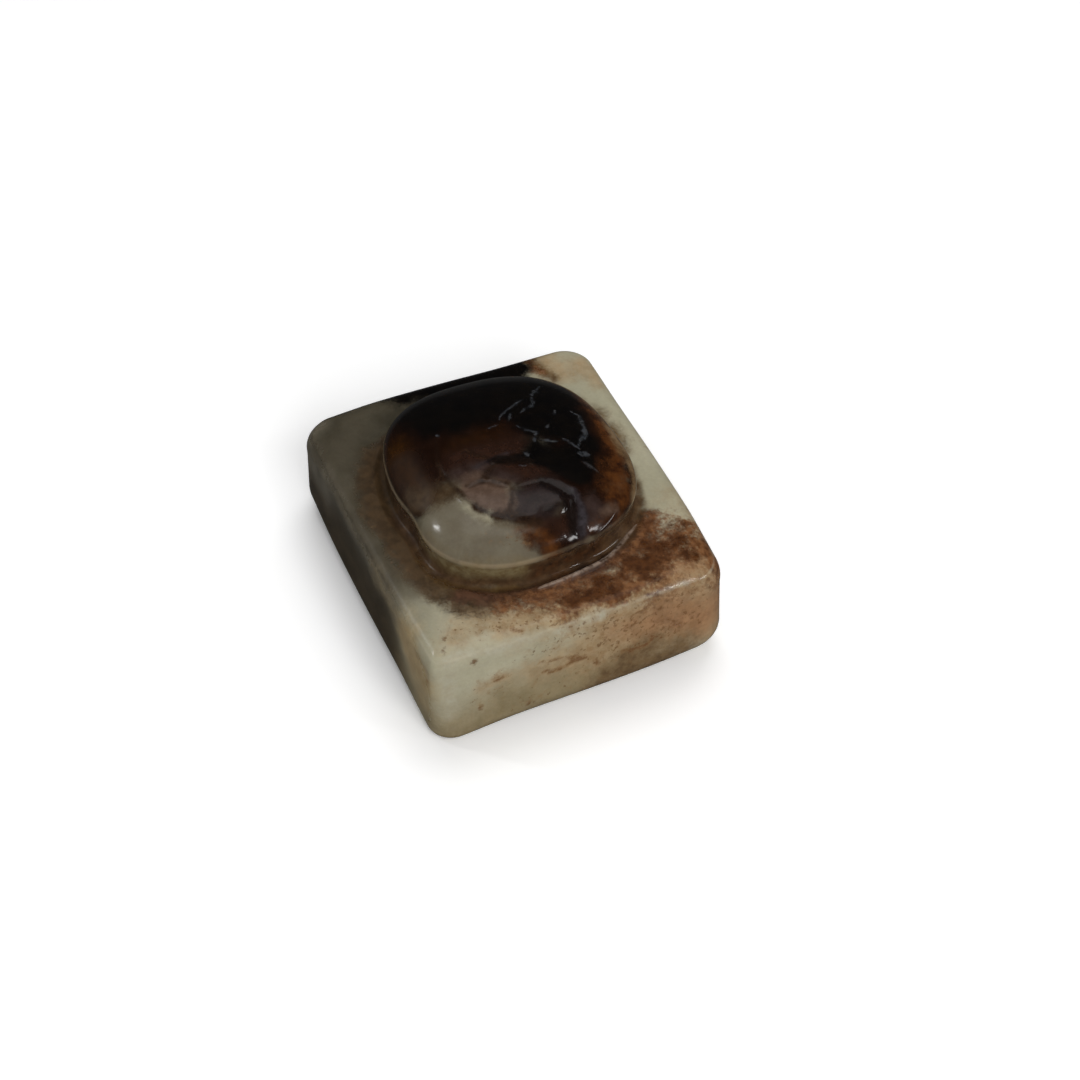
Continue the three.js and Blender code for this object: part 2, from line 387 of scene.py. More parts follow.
def loft(rings, bottom, top):
    """A closed mesh from rings stacked upwards, with a point at each end"""
    starts = np.concatenate([[0], np.cumsum([len(ring) for ring in rings])]).tolist()
    points = np.vstack(rings + [bottom, top])
    faces = []
    for i in range(len(rings) - 1):
        n, m = len(rings[i]), len(rings[i + 1])
        if n >= m:
            faces += strip_faces(starts[i], n, starts[i + 1], m)
        else:
            swapped = strip_faces(starts[i + 1], m, starts[i], n)
            faces += [tuple(reversed(face)) for face in swapped]
    last = len(points) - 1
    n, m = len(rings[0]), len(rings[-1])
    faces += [(last - 1, (i + 1) % n, i) for i in range(n)]
    faces += [(last, starts[-2] + i, starts[-2] + (i + 1) % m) for i in range(m)]
    return points, faces


def mesh_object(name, points, faces, edges=()):
    """An object at the origin whose mesh is given in millimetres"""
    mesh = bpy.data.meshes.new(name)
    mesh.from_pydata((np.asarray(points) * MM).tolist(), list(edges), faces)
    made = bpy.data.objects.new(name, mesh)
    bpy.context.scene.collection.objects.link(made)
    return made


rings = face_rings() + side_rings() + platform_rings() + knob_rings()
crown = rings[-1].mean(axis=0) + [0, 0, 0.002]
block_points, block_faces = loft(rings, [[0, 0, 0]], [crown])
stone = mesh_object("jade_seal", block_points, block_faces)
print("rings:", len(rings), "points:", len(block_points), "faces:", len(block_faces))

# %% [markdown]
# ## Laying strokes on the stone
#
# Everything that a carver or the ground did to this pebble is described the same way: a stroke
# of a few points on one of its faces, read off the real object in millimetres. On the top they are
# x and y, on the front and back x and z, on a side y and z. Round the knob they are a direction
# in degrees and a distance from the knob's outline, and on the knob's wall a direction and a
# height. A ray sent from outside finds the surface under each point.

# %% Points on the surface
surface = BVHTree.FromPolygons(block_points.tolist(), block_faces)
OUTSIDE = 60.0
# millimetres of the knob's outline for one degree of direction
ROUND_SCALE = 0.25


def beside_knob(towards, outside):
    """A place seen from above, a step outside the knob's outline in a direction in degrees"""
    direction = math.radians(towards)
    reach = float(knob_reach(direction)) + outside
    return knob_centre[0] + reach * math.cos(direction), knob_centre[1] + reach * math.sin(direction)


def at_wall(towards, height):
    """A ray from the platform's side on to the knob's wall, at a height above the platform"""
    x, y = beside_knob(towards, 1.0)
    turn = math.radians(towards)
    return (x, y, float(platform_height(x, y)) + height), (-math.cos(turn), -math.sin(turn), 0)


faces_of_stone = {
    "top": lambda a, b: ((a, b, OUTSIDE), (0, 0, -1)),
    "base": lambda a, b: ((a, b, -OUTSIDE), (0, 0, 1)),
    "front": lambda a, b: ((a, -OUTSIDE, b), (0, 1, 0)),
    "back": lambda a, b: ((a, OUTSIDE, b), (0, -1, 0)),
    "left": lambda a, b: ((-OUTSIDE, a, b), (1, 0, 0)),
    "right": lambda a, b: ((OUTSIDE, a, b), (-1, 0, 0)),
    "round": lambda a, b: ((*beside_knob(a, b), OUTSIDE), (0, 0, -1)),
    "wall": at_wall,
}


def lay(face, points, spacing=0.5):
    """A smooth stroke on a face of the stone, as points in space"""
    if face in ("round", "wall"):
        points = [(a, b / ROUND_SCALE) for a, b in points]
        line = [(a, b * ROUND_SCALE) for a, b in smooth_line(points, spacing / ROUND_SCALE)]
    else:
        line = smooth_line(points, spacing) if len(points) > 1 else points
    laid = []
    for a, b in line:
        start, along = faces_of_stone[face](a, b)
        hit = surface.ray_cast(Vector(start), Vector(along))[0]
        if hit is not None:
            laid.append(tuple(hit))
    return np.array(laid)


# %% [markdown]
# ## The graver's strokes
#
# The shell's pattern is nearly worn away. What is left are soft furrows between the plates, one
# deep furrow that runs over the front of the dome and notches its rim, and a few low ridges
# beside them. Each has a depth (or height) and a reach, the distance to both sides at which it
# has nearly gone.

# %% Furrows and ridges
furrows = [
    # the edge of the shell, round its left side and front
    (0.05, 0.32, [(-7.4, 5.8), (-9.0, 1.3), (-8.9, -1.3), (-8.7, -3.4), (-8.3, -5.4), (-7.6, -7.3)]),
    (0.05, 0.38, [(-7.6, -7.3), (-6.8, -8.3), (-5.6, -9.4), (-4.2, -10.4), (-2.8, -11.0), (-1.5, -11.5)]),
    # between the plates
    (0.07, 0.40, [(-7.2, -4.3), (-6.0, -4.2), (-4.9, -4.4), (-4.0, -5.2), (-2.9, -6.3)]),
    (0.05, 0.42, [(-1.7, -6.7), (-0.2, -6.8), (0.9, -6.8), (1.9, -6.6)]),
    (0.06, 0.40, [(-2.5, -7.1), (-3.3, -8.4), (-4.0, -9.9)]),
    (0.06, 0.40, [(-4.7, 1.6), (-3.9, 0.4), (-3.0, -0.8)]),
    (0.07, 0.42, [(-4.7, -4.0), (-3.6, -2.9), (-2.5, -1.8)]),
    (0.07, 0.70, [(-2.6, -1.6), (-1.2, -1.9), (0.4, -2.6), (1.8, -3.4)]),
    # the deep furrow over the front of the dome, and the hollows beside it
    (0.06, 0.60, [(1.2, -6.5), (2.2, -7.4), (3.2, -8.6), (3.8, -9.6)]),
    (0.26, 1.00, [(3.4, -8.8), (3.7, -9.8), (3.3, -11.0), (3.0, -12.2), (3.0, -13.4), (3.2, -15.6)]),
    (0.05, 0.60, [(-0.6, -10.8), (0.8, -10.5), (2.0, -10.5), (3.0, -10.8)]),
    (0.10, 0.60, [(4.8, -10.7), (5.8, -10.2), (6.7, -9.7), (7.6, -9.4)]),
    (0.05, 0.35, [(7.4, -5.2), (8.3, -6.4), (9.0, -7.6)]),
]
ridges = [
    (0.04, 0.50, [(-4.8, -1.9), (-3.0, -1.4), (-1.2, -0.8), (0.2, -0.9)]),
    (0.06, 0.64, [(3.7, -7.4), (4.8, -9.0), (4.9, -10.6), (4.7, -12.0), (4.6, -13.4), (4.5, -14.6)]),
    (0.05, 0.80, [(-1.2, -12.0), (0.2, -12.2), (1.2, -13.0), (1.6, -14.2)]),
    (0.05, 0.50, [(-9.2, -2.6), (-8.4, -5.8), (-6.6, -8.8), (-4.2, -10.8)]),
    # the rim's roll at the front right
    (0.15, 0.36, [(4.0, -14.8), (5.4, -14.5), (7.2, -13.7), (8.8, -12.6), (10.2, -11.2)]),
]
# the channel's lip stands up a little along the front right
lip_path = [(-3.4, -16.8), (0.4, -16.6), (3.0, -16.2), (5.5, -15.7), (8.0, -14.6), (12.4, -11.4)]
lip = [(0.26, 0.46, lip_path)]
# thin healed cracks in the black skin, paler than the skin and a little sunk
healed_cracks = [
    (0.04, 0.34, [(8.6, 10.2), (7.6, 9.2), (6.8, 8.4), (6.3, 7.2), (5.9, 6.2), (4.8, 5.8), (3.8, 5.2)]),
    (0.04, 0.26, [(5.4, 7.8), (4.2, 7.3), (3.2, 6.8), (2.2, 6.3), (1.4, 5.7), (0.8, 5.0)]),
    (0.04, 0.24, [(2.7, 5.8), (2.2, 5.0), (1.8, 4.3)]),
    (0.03, 0.20, [(-1.5, 4.0), (-0.5, 4.1), (0.4, 4.2)]),
    (0.04, 0.28, [(2.4, 3.2), (3.1, 2.1), (3.9, 1.4), (4.4, 0.9)]),
    (0.04, 0.34, [(4.5, 1.3), (3.8, 0.5), (3.3, -0.5)]),
    (0.04, 0.32, [(4.0, -0.2), (5.0, -0.8), (6.2, -1.3)]),
    (0.03, 0.40, [(5.6, 1.5), (6.3, 2.0)]),
    (0.05, 0.30, [(6.8, -0.8), (7.4, -1.6), (7.9, -2.5), (8.2, -3.2)]),
    (0.04, 0.44, [(8.1, -2.9), (8.9, -1.9), (9.8, -1.1), (10.4, 0.2), (10.8, 1.5), (11.0, 2.8), (10.3, 4.0)]),
    (0.03, 0.70, [(7.8, -3.9), (8.4, -4.1), (9.1, -4.3)]),
    (0.05, 0.20, [(7.6, -5.2), (8.4, -6.4), (9.0, -7.5)]),
    (0.03, 0.26, [(8.3, 4.6), (7.8, 3.4)]),
    (0.03, 0.26, [(1.3, -1.6), (1.6, -2.6)]),
    (0.03, 0.24, [(-0.3, -3.4), (0.8, -3.9)]),
    (0.03, 0.24, [(-7.4, 6.3), (-6.9, 5.7)]),
]
print("furrows:", len(furrows), "ridges:", len(ridges), "healed cracks:", len(healed_cracks))

# %% Strokes as thin meshes that Geometry Nodes can measure
STROKE_SPACING = 0.12
RIM_LINE = 3.38


def stroke_mesh(name, strokes):
    """Strokes as chains of edges, whose points carry a depth and a reach that taper at the ends"""
    points, edges, depths, reaches = [], [], [], []
    for depth, reach, laid in strokes:
        first = len(points)
        along = np.linspace(0, 1, len(laid))
        taper = 1 - 0.65 * (1 - np.minimum(1, np.minimum(along, 1 - along) / 0.3)) ** 2
        if np.allclose(laid[0], laid[-1]):
            taper = 0 * taper + 1
        points += laid.tolist()
        edges += [(first + i, first + i + 1) for i in range(len(laid) - 1)]
        depths += (depth * taper).tolist()
        reaches += (reach * taper).tolist()
    made = mesh_object(name, points, [], edges)
    for title, values in (("depth", depths), ("reach", reaches)):
        made.data.attributes.new(title, "FLOAT", "POINT").data.foreach_set("value", np.array(values) * MM)
    made.hide_render = True
    return made


def on_top(strokes):
    """Strokes laid on the top of the stone"""
    return [(depth, reach, lay("top", path, STROKE_SPACING)) for depth, reach, path in strokes]


rim_line = knob_ring(1, 0, RIM_LINE)
crease_line = edge_ring(crease_turn)
furrow_strokes = stroke_mesh("furrow_strokes", on_top(furrows))
ridge_strokes = stroke_mesh("ridge_strokes", on_top(ridges))
crack_strokes = stroke_mesh("crack_strokes", on_top(healed_cracks))
lip_stroke = stroke_mesh("lip_stroke", on_top(lip))
rim_stroke = stroke_mesh("rim_stroke", [(0.02, 0.36, np.vstack([rim_line, rim_line[:1]]))])
crease_stroke = stroke_mesh("crease_stroke", [(0.0, 0.20, np.vstack([crease_line, crease_line[:1]]))])

# %% [markdown]
# ## Writing node trees in a script
#
# A geometry or material tree is a set of nodes and the links between their sockets. Three
# small helpers keep the trees below short: one adds a node and fills its sockets, with a plain
# value or another node's output, one does arithmetic, and one fades a value between two limits.

# %% Helpers for node trees
def add(tree, kind, inputs=None, **settings):
    """A new node. inputs maps a socket's name or number to a value or to another socket"""
    made = tree.nodes.new(kind)
    for name, value in settings.items():
        setattr(made, name, value)
    for key, value in (inputs or {}).items():
        socket = made.inputs[key]
        if isinstance(value, bpy.types.NodeSocket):
            tree.links.new(value, socket)
        else:
            socket.default_value = value
    return made


def calc(tree, operation, *values):
    """One step of arithmetic"""
    return add(tree, "ShaderNodeMath", dict(enumerate(values)), operation=operation).outputs[0]


def ramp(tree, value, low, high, start=0.0, end=1.0):
    """A soft step from start to end while the value goes from low to high"""
    inputs = {"Value": value, "From Min": low, "From Max": high, "To Min": start, "To Max": end}
    return add(tree, "ShaderNodeMapRange", inputs, interpolation_type="SMOOTHSTEP").outputs["Result"]


def new_geometry_tree(name, inputs):
    """A geometry tree with named inputs: {name: (socket type, default)}"""
    tree = bpy.data.node_groups.new(name, "GeometryNodeTree")
    tree.interface.new_socket("Geometry", in_out="INPUT", socket_type="NodeSocketGeometry")
    for title, (kind, default) in inputs.items():
        socket = tree.interface.new_socket(title, in_out="INPUT", socket_type="NodeSocket" + kind)
        if default is not None:
            socket.default_value = default
    tree.interface.new_socket("Geometry", in_out="OUTPUT", socket_type="NodeSocketGeometry")
    return tree, tree.nodes.new("NodeGroupInput").outputs


def end_tree(tree, geometry, given):
    """Every tree ends in real geometry with its material set"""
    real = add(tree, "GeometryNodeRealizeInstances", {0: geometry}).outputs[0]
    finished = add(tree, "GeometryNodeSetMaterial", {0: real, "Material": given["Material"]}).outputs[0]
    add(tree, "NodeGroupOutput", {0: finished})


def run_tree(obj, tree, **values):
    """Adds the tree as a modifier and sets its inputs by their sockets' identifiers"""
    modifier = obj.modifiers.new(tree.name, "NODES")
    modifier.node_group = tree
    for item in tree.interface.items_tree:
        key = item.name.lower().replace(" ", "_")
        if item.in_out == "INPUT" and key in values:
            modifier[item.identifier] = values[key]
    return modifier


def settle(obj):
    """Turns the modifiers' result into the object's plain mesh and removes them"""
    evaluated = obj.evaluated_get(bpy.context.evaluated_depsgraph_get())
    plain = bpy.data.meshes.new_from_object(evaluated)
    obj.modifiers.clear()
    obj.data = plain
    plain.name = obj.name
    return plain


# %% [markdown]
# ## Finishing tools as Geometry Nodes
#
# Two tools shape the stone further. The polisher's hand leaves a surface that is never quite
# flat: slow noise pushes the skin inwards by a few hundredths. The graver follows strokes: for
# each point of the stone the tree finds the nearest place on the strokes, reads how deep and
# how wide the cut is there, and moves the point along its normal. It also stores how near the
# cut is, which the material uses later.

# %% The polisher's hand
polish_tree, given = new_geometry_tree(
    "hand_polish",
    {
        "Depth": ("Float", 0.0),
        "Grain": ("Float", 0.01),
        "Seed": ("Float", 0.0),
        "Material": ("Material", None),
    },
)
waves = add(
    polish_tree,
    "ShaderNodeTexNoise",
    {"W": given["Seed"], "Scale": calc(polish_tree, "DIVIDE", 1.0, given["Grain"]), "Detail": 1.5},
    noise_dimensions="4D",
).outputs[0]
place = add(polish_tree, "GeometryNodeInputPosition").outputs[0]
polish_tree.links.new(place, waves.node.inputs["Vector"])
height = add(polish_tree, "ShaderNodeSeparateXYZ", {0: place}).outputs[2]
off_the_face = ramp(polish_tree, height, 0.0002, 0.003)
inwards = calc(polish_tree, "MULTIPLY", calc(polish_tree, "MULTIPLY", waves, off_the_face), given["Depth"])
normal = add(polish_tree, "GeometryNodeInputNormal").outputs[0]
push = add(
    polish_tree,
    "ShaderNodeVectorMath",
    {0: normal, "Scale": calc(polish_tree, "MULTIPLY", inwards, -1.0)},
    operation="SCALE",
).outputs[0]
moved = add(polish_tree, "GeometryNodeSetPosition", {0: given["Geometry"], "Offset": push}).outputs[0]
end_tree(polish_tree, moved, given)

# %% The graver
graver_tree, given = new_geometry_tree(
    "graver",
    {
        "Strokes": ("Object", None),
        "Rise": ("Float", -1.0),
        "Unevenness": ("Float", 0.25),
        "Seed": ("Float", 0.0),
        "Trace": ("String", "trace"),
        "Material": ("Material", None),
    },
)
strokes = add(graver_tree, "GeometryNodeObjectInfo", {"Object": given["Strokes"]}).outputs["Geometry"]
distance = add(graver_tree, "GeometryNodeProximity", {0: strokes}, target_element="EDGES").outputs["Distance"]
nearest = add(graver_tree, "GeometryNodeSampleNearest", {0: strokes}).outputs[0]


def read_stroke(title):
    """The value that the nearest point of the strokes carries"""
    value = add(graver_tree, "GeometryNodeInputNamedAttribute", {"Name": title}).outputs[0]
    inputs = {0: strokes, 1: value, "Index": nearest}
    return add(graver_tree, "GeometryNodeSampleIndex", inputs).outputs[0]


place = add(graver_tree, "GeometryNodeInputPosition").outputs[0]
waver = add(
    graver_tree,
    "ShaderNodeTexNoise",
    {"Vector": place, "W": given["Seed"], "Scale": 1200.0, "Detail": 2.0},
    noise_dimensions="4D",
).outputs[0]
offset = calc(graver_tree, "SUBTRACT", waver, 0.5)
wavering = calc(graver_tree, "MULTIPLY_ADD", offset, given["Unevenness"], 1.0)
uneven_distance = calc(graver_tree, "MULTIPLY", distance, wavering)
span = calc(graver_tree, "DIVIDE", uneven_distance, read_stroke("reach"))
square = calc(graver_tree, "POWER", span, 2.0)
bell = calc(graver_tree, "EXPONENT", calc(graver_tree, "MULTIPLY", square, -1.0))
traced = add(
    graver_tree,
    "GeometryNodeStoreNamedAttribute",
    {0: given["Geometry"], "Name": given["Trace"], "Value": bell},
    data_type="FLOAT",
    domain="POINT",
).outputs[0]
cut_depth = calc(graver_tree, "MULTIPLY", bell, read_stroke("depth"))
lift = calc(graver_tree, "MULTIPLY", cut_depth, given["Rise"])
normal = add(graver_tree, "GeometryNodeInputNormal").outputs[0]
push = add(graver_tree, "ShaderNodeVectorMath", {0: normal, "Scale": lift}, operation="SCALE").outputs[0]
carved = add(graver_tree, "GeometryNodeSetPosition", {0: traced, "Offset": push}).outputs[0]
end_tree(graver_tree, carved, given)

# %% [markdown]
# ## The key-fret in the seal face
#
# A seal face carries cut lines that hold the paste. This one has a traditional key-fret: a
# frame, a bar across it, and a square spiral in each half. All of it is drawn as paths in steps
# of the fret's pitch. A tree then sweeps a tapered section along them, with corners rounded as
# a small cutting wheel leaves them and sides that waver a little, and cuts it out of the stone.

# %% Paths of the fret
fret_pitch = 3.4
fret_line = 1.7
fret_depth = 1.2
fret_frame = [(-4, -5), (4, -5), (4, 5), (-4, 5), (-4, -5)]
fret_bar = [(-4, 0), (4, 0)]
fret_spiral = [(4, 1), (-3, 1), (-3, 4), (3, 4), (3, 2), (-2, 2), (-2, 3), (2, 3)]
turned_spiral = [(-x, -y) for x, y in fret_spiral]


def path_object(name, height):
    """The fret's paths as chains of edges at one height"""
    points, edges = [], []
    for path in (fret_frame, fret_bar, fret_spiral, turned_spiral):
        first = len(points)
        closed = path[0] == path[-1]
        corners = path[:-1] if closed else path
        points += [(x * fret_pitch, y * fret_pitch, height) for x, y in corners]
        edges += [(first + i, first + i + 1) for i in range(len(corners) - 1)]
        if closed:
            edges.append((first + len(corners) - 1, first))
    made = mesh_object(name, points, [], edges)
    made.hide_render = True
    return made


fret_paths = path_object("fret_paths", 0.0)


# %% A tree that sweeps a section along the fret
def swept_fret(tree, paths, width, height, taper, waver_depth, seed):
    """The fret's lines as a mesh, the section's middle on the path"""
    curve = add(tree, "GeometryNodeMeshToCurve", {0: paths}).outputs[0]
    curve = add(
        tree, "GeometryNodeFilletCurve", {0: curve, "Count": 4, "Radius": 0.45 * MM}, mode="POLY"
    ).outputs[0]
    curve = add(
        tree, "GeometryNodeResampleCurve", {0: curve, "Length": 0.35 * MM}, mode="LENGTH"
    ).outputs[0]
    curve = add(tree, "GeometryNodeSetCurveNormal", {0: curve}, mode="Z_UP").outputs[0]
    spot = add(tree, "GeometryNodeInputPosition").outputs[0]
    drift = add(
        tree,
        "ShaderNodeTexNoise",
        {"Vector": spot, "W": seed, "Scale": 350.0, "Detail": 2.0},
        noise_dimensions="4D",
    ).outputs[1]
    drift = add(tree, "ShaderNodeVectorMath", {0: drift, 1: (0.5, 0.5, 0.5)}, operation="SUBTRACT").outputs[0]
    flat = add(tree, "ShaderNodeVectorMath", {0: drift, 1: (1.0, 1.0, 0.0)}, operation="MULTIPLY").outputs[0]
    drift = add(tree, "ShaderNodeVectorMath", {0: flat, "Scale": waver_depth}, operation="SCALE").outputs[0]
    curve = add(tree, "GeometryNodeSetPosition", {0: curve, "Offset": drift}).outputs[0]
    section = add(
        tree,
        "GeometryNodeCurvePrimitiveQuadrilateral",
        {
            "Bottom Width": calc(tree, "ADD", width, taper),
            "Top Width": calc(tree, "SUBTRACT", width, taper),
            "Offset": 0.0,
            "Height": height,
        },
        mode="TRAPEZOID",
    ).outputs[0]
    inputs = {0: curve, "Profile Curve": section, "Fill Caps": True}
    return add(tree, "GeometryNodeCurveToMesh", inputs).outputs[0]


# %% Cut the fret
fret_tree, given = new_geometry_tree(
    "cut_fret",
    {
        "Paths": ("Object", None),
        "Line Width": ("Float", 0.001),
        "Depth": ("Float", 0.001),
        "Taper": ("Float", 0.0),
        "Waver": ("Float", 0.0),
        "Seed": ("Float", 0.0),
        "Material": ("Material", None),
    },
)
paths = add(fret_tree, "GeometryNodeObjectInfo", {"Object": given["Paths"]}).outputs["Geometry"]
cutter_height = calc(fret_tree, "MULTIPLY", given["Depth"], 2.0)
cutter = swept_fret(
    fret_tree, paths, given["Line Width"], cutter_height, given["Taper"], given["Waver"], given["Seed"]
)
joined = add(
    fret_tree,
    "GeometryNodeMeshBoolean",
    {"Mesh 2": cutter, "Self Intersection": True},
    operation="UNION",
    solver="EXACT",
).outputs[0]
cut = add(
    fret_tree,
    "GeometryNodeMeshBoolean",
    {"Mesh 1": given["Geometry"], "Mesh 2": joined},
    operation="DIFFERENCE",
    solver="MANIFOLD",
).outputs[0]
end_tree(fret_tree, cut, given)

# %% [markdown]
# ## Run the tools over the stone
#
# The order is the carver's: block, seal face, furrows and ridges, then the last polish, which
# takes a little off everything. The cracks are nature's and come last.

# %% Make the stone's final mesh
jade = bpy.data.materials.new("mottled_jade")
run_tree(
    stone,
    fret_tree,
    paths=fret_paths,
    line_width=fret_line * MM,
    depth=fret_depth * MM,
    taper=0.25 * MM,
    waver=0.22 * MM,
    seed=3.0,
    material=jade,
)


def engrave(strokes, title, rise, unevenness, seed):
    """Runs the graver once more over the stone"""
    values = {"strokes": strokes, "trace": title, "rise": rise, "unevenness": unevenness, "seed": seed}
    run_tree(stone, graver_tree, material=jade, **values)


engrave(furrow_strokes, "furrow", -1.0, 0.0, 1.0)
engrave(ridge_strokes, "ridge", 1.0, 0.0, 2.0)
run_tree(stone, polish_tree, depth=0.07 * MM, grain=9.0 * MM, seed=5.0, material=jade)
engrave(lip_stroke, "lip", 1.0, 0.25, 7.0)
engrave(rim_stroke, "rim", 1.0, 0.25, 4.0)
engrave(crease_stroke, "crease", 1.0, 0.25, 8.0)
engrave(crack_strokes, "crack", -1.0, 2.4, 6.0)
stone_mesh = settle(stone)
for point in stone_mesh.vertices:
    point.co.z = min(point.co.z, cad_box[1][2])
SHARP_FROM = math.radians(38)
stone_mesh.shade_smooth()
stone_mesh.set_sharp_from_angle(angle=SHARP_FROM)
stone_mesh.calc_loop_triangles()
print("triangles of the stone:", len(stone_mesh.loop_triangles))

# %% [markdown]
# ## The paste in the fret
#
# Vermilion paste is ground cinnabar in oil. It dries in the lines as a thin, cracked film, a
# little narrower than the line. The same paths carry it. The swept film goes through a volume,
# which melts the crossings together and rounds the edges, and noise makes its free side lumpy.

# %% Vermilion paste
paste_low, paste_high = (corner[2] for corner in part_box("seal_paste"))
paste_gap = 0.25
paste_tree, given = new_geometry_tree(
    "dried_paste",
    {
        "Line Width": ("Float", 0.001),
        "Thickness": ("Float", 0.001),
        "Top": ("Float", 0.001),
        "Lumps": ("Float", 0.0),
        "Waver": ("Float", 0.0),
        "Seed": ("Float", 0.0),
        "Material": ("Material", None),
    },
)
film = swept_fret(
    paste_tree, given["Geometry"], given["Line Width"], given["Thickness"], 0.0, given["Waver"], given["Seed"]
)
volume = add(
    paste_tree,
    "GeometryNodeMeshToVolume",
    {0: film, "Voxel Size": 0.1 * MM, "Interior Band Width": 0.6 * MM},
    resolution_mode="VOXEL_SIZE",
).outputs[0]
skin = add(
    paste_tree, "GeometryNodeVolumeToMesh", {0: volume, "Voxel Size": 0.16 * MM}, resolution_mode="VOXEL_SIZE"
).outputs[0]
place = add(paste_tree, "GeometryNodeInputPosition").outputs[0]
lumps = add(
    paste_tree,
    "ShaderNodeTexNoise",
    {"Vector": place, "W": given["Seed"], "Scale": 900.0, "Detail": 3.0},
    noise_dimensions="4D",
).outputs[0]
height = add(paste_tree, "ShaderNodeSeparateXYZ", {0: place}).outputs[2]
below = calc(paste_tree, "LESS_THAN", height, given["Top"])
sink = calc(paste_tree, "MULTIPLY", calc(paste_tree, "MULTIPLY", lumps, below), given["Lumps"])
push = add(paste_tree, "ShaderNodeCombineXYZ", {2: sink}).outputs[0]
lumpy = add(paste_tree, "GeometryNodeSetPosition", {0: skin, "Offset": push}).outputs[0]
end_tree(paste_tree, lumpy, given)

paste_middle = (paste_low + paste_high) / 2
paste = path_object("vermilion_paste", paste_middle / MM)
paste.hide_render = False
vermilion = bpy.data.materials.new("dried_vermilion")
run_tree(
    paste,
    paste_tree,
    line_width=(fret_line - 2 * paste_gap) * MM,
    thickness=paste_high - paste_low,
    top=paste_middle,
    lumps=0.18 * MM,
    waver=0.22 * MM,
    seed=3.0,
    material=vermilion,
)
paste_mesh = settle(paste)
paste_mesh.shade_smooth()
paste_mesh.calc_loop_triangles()
print("triangles of the paste:", len(paste_mesh.loop_triangles))
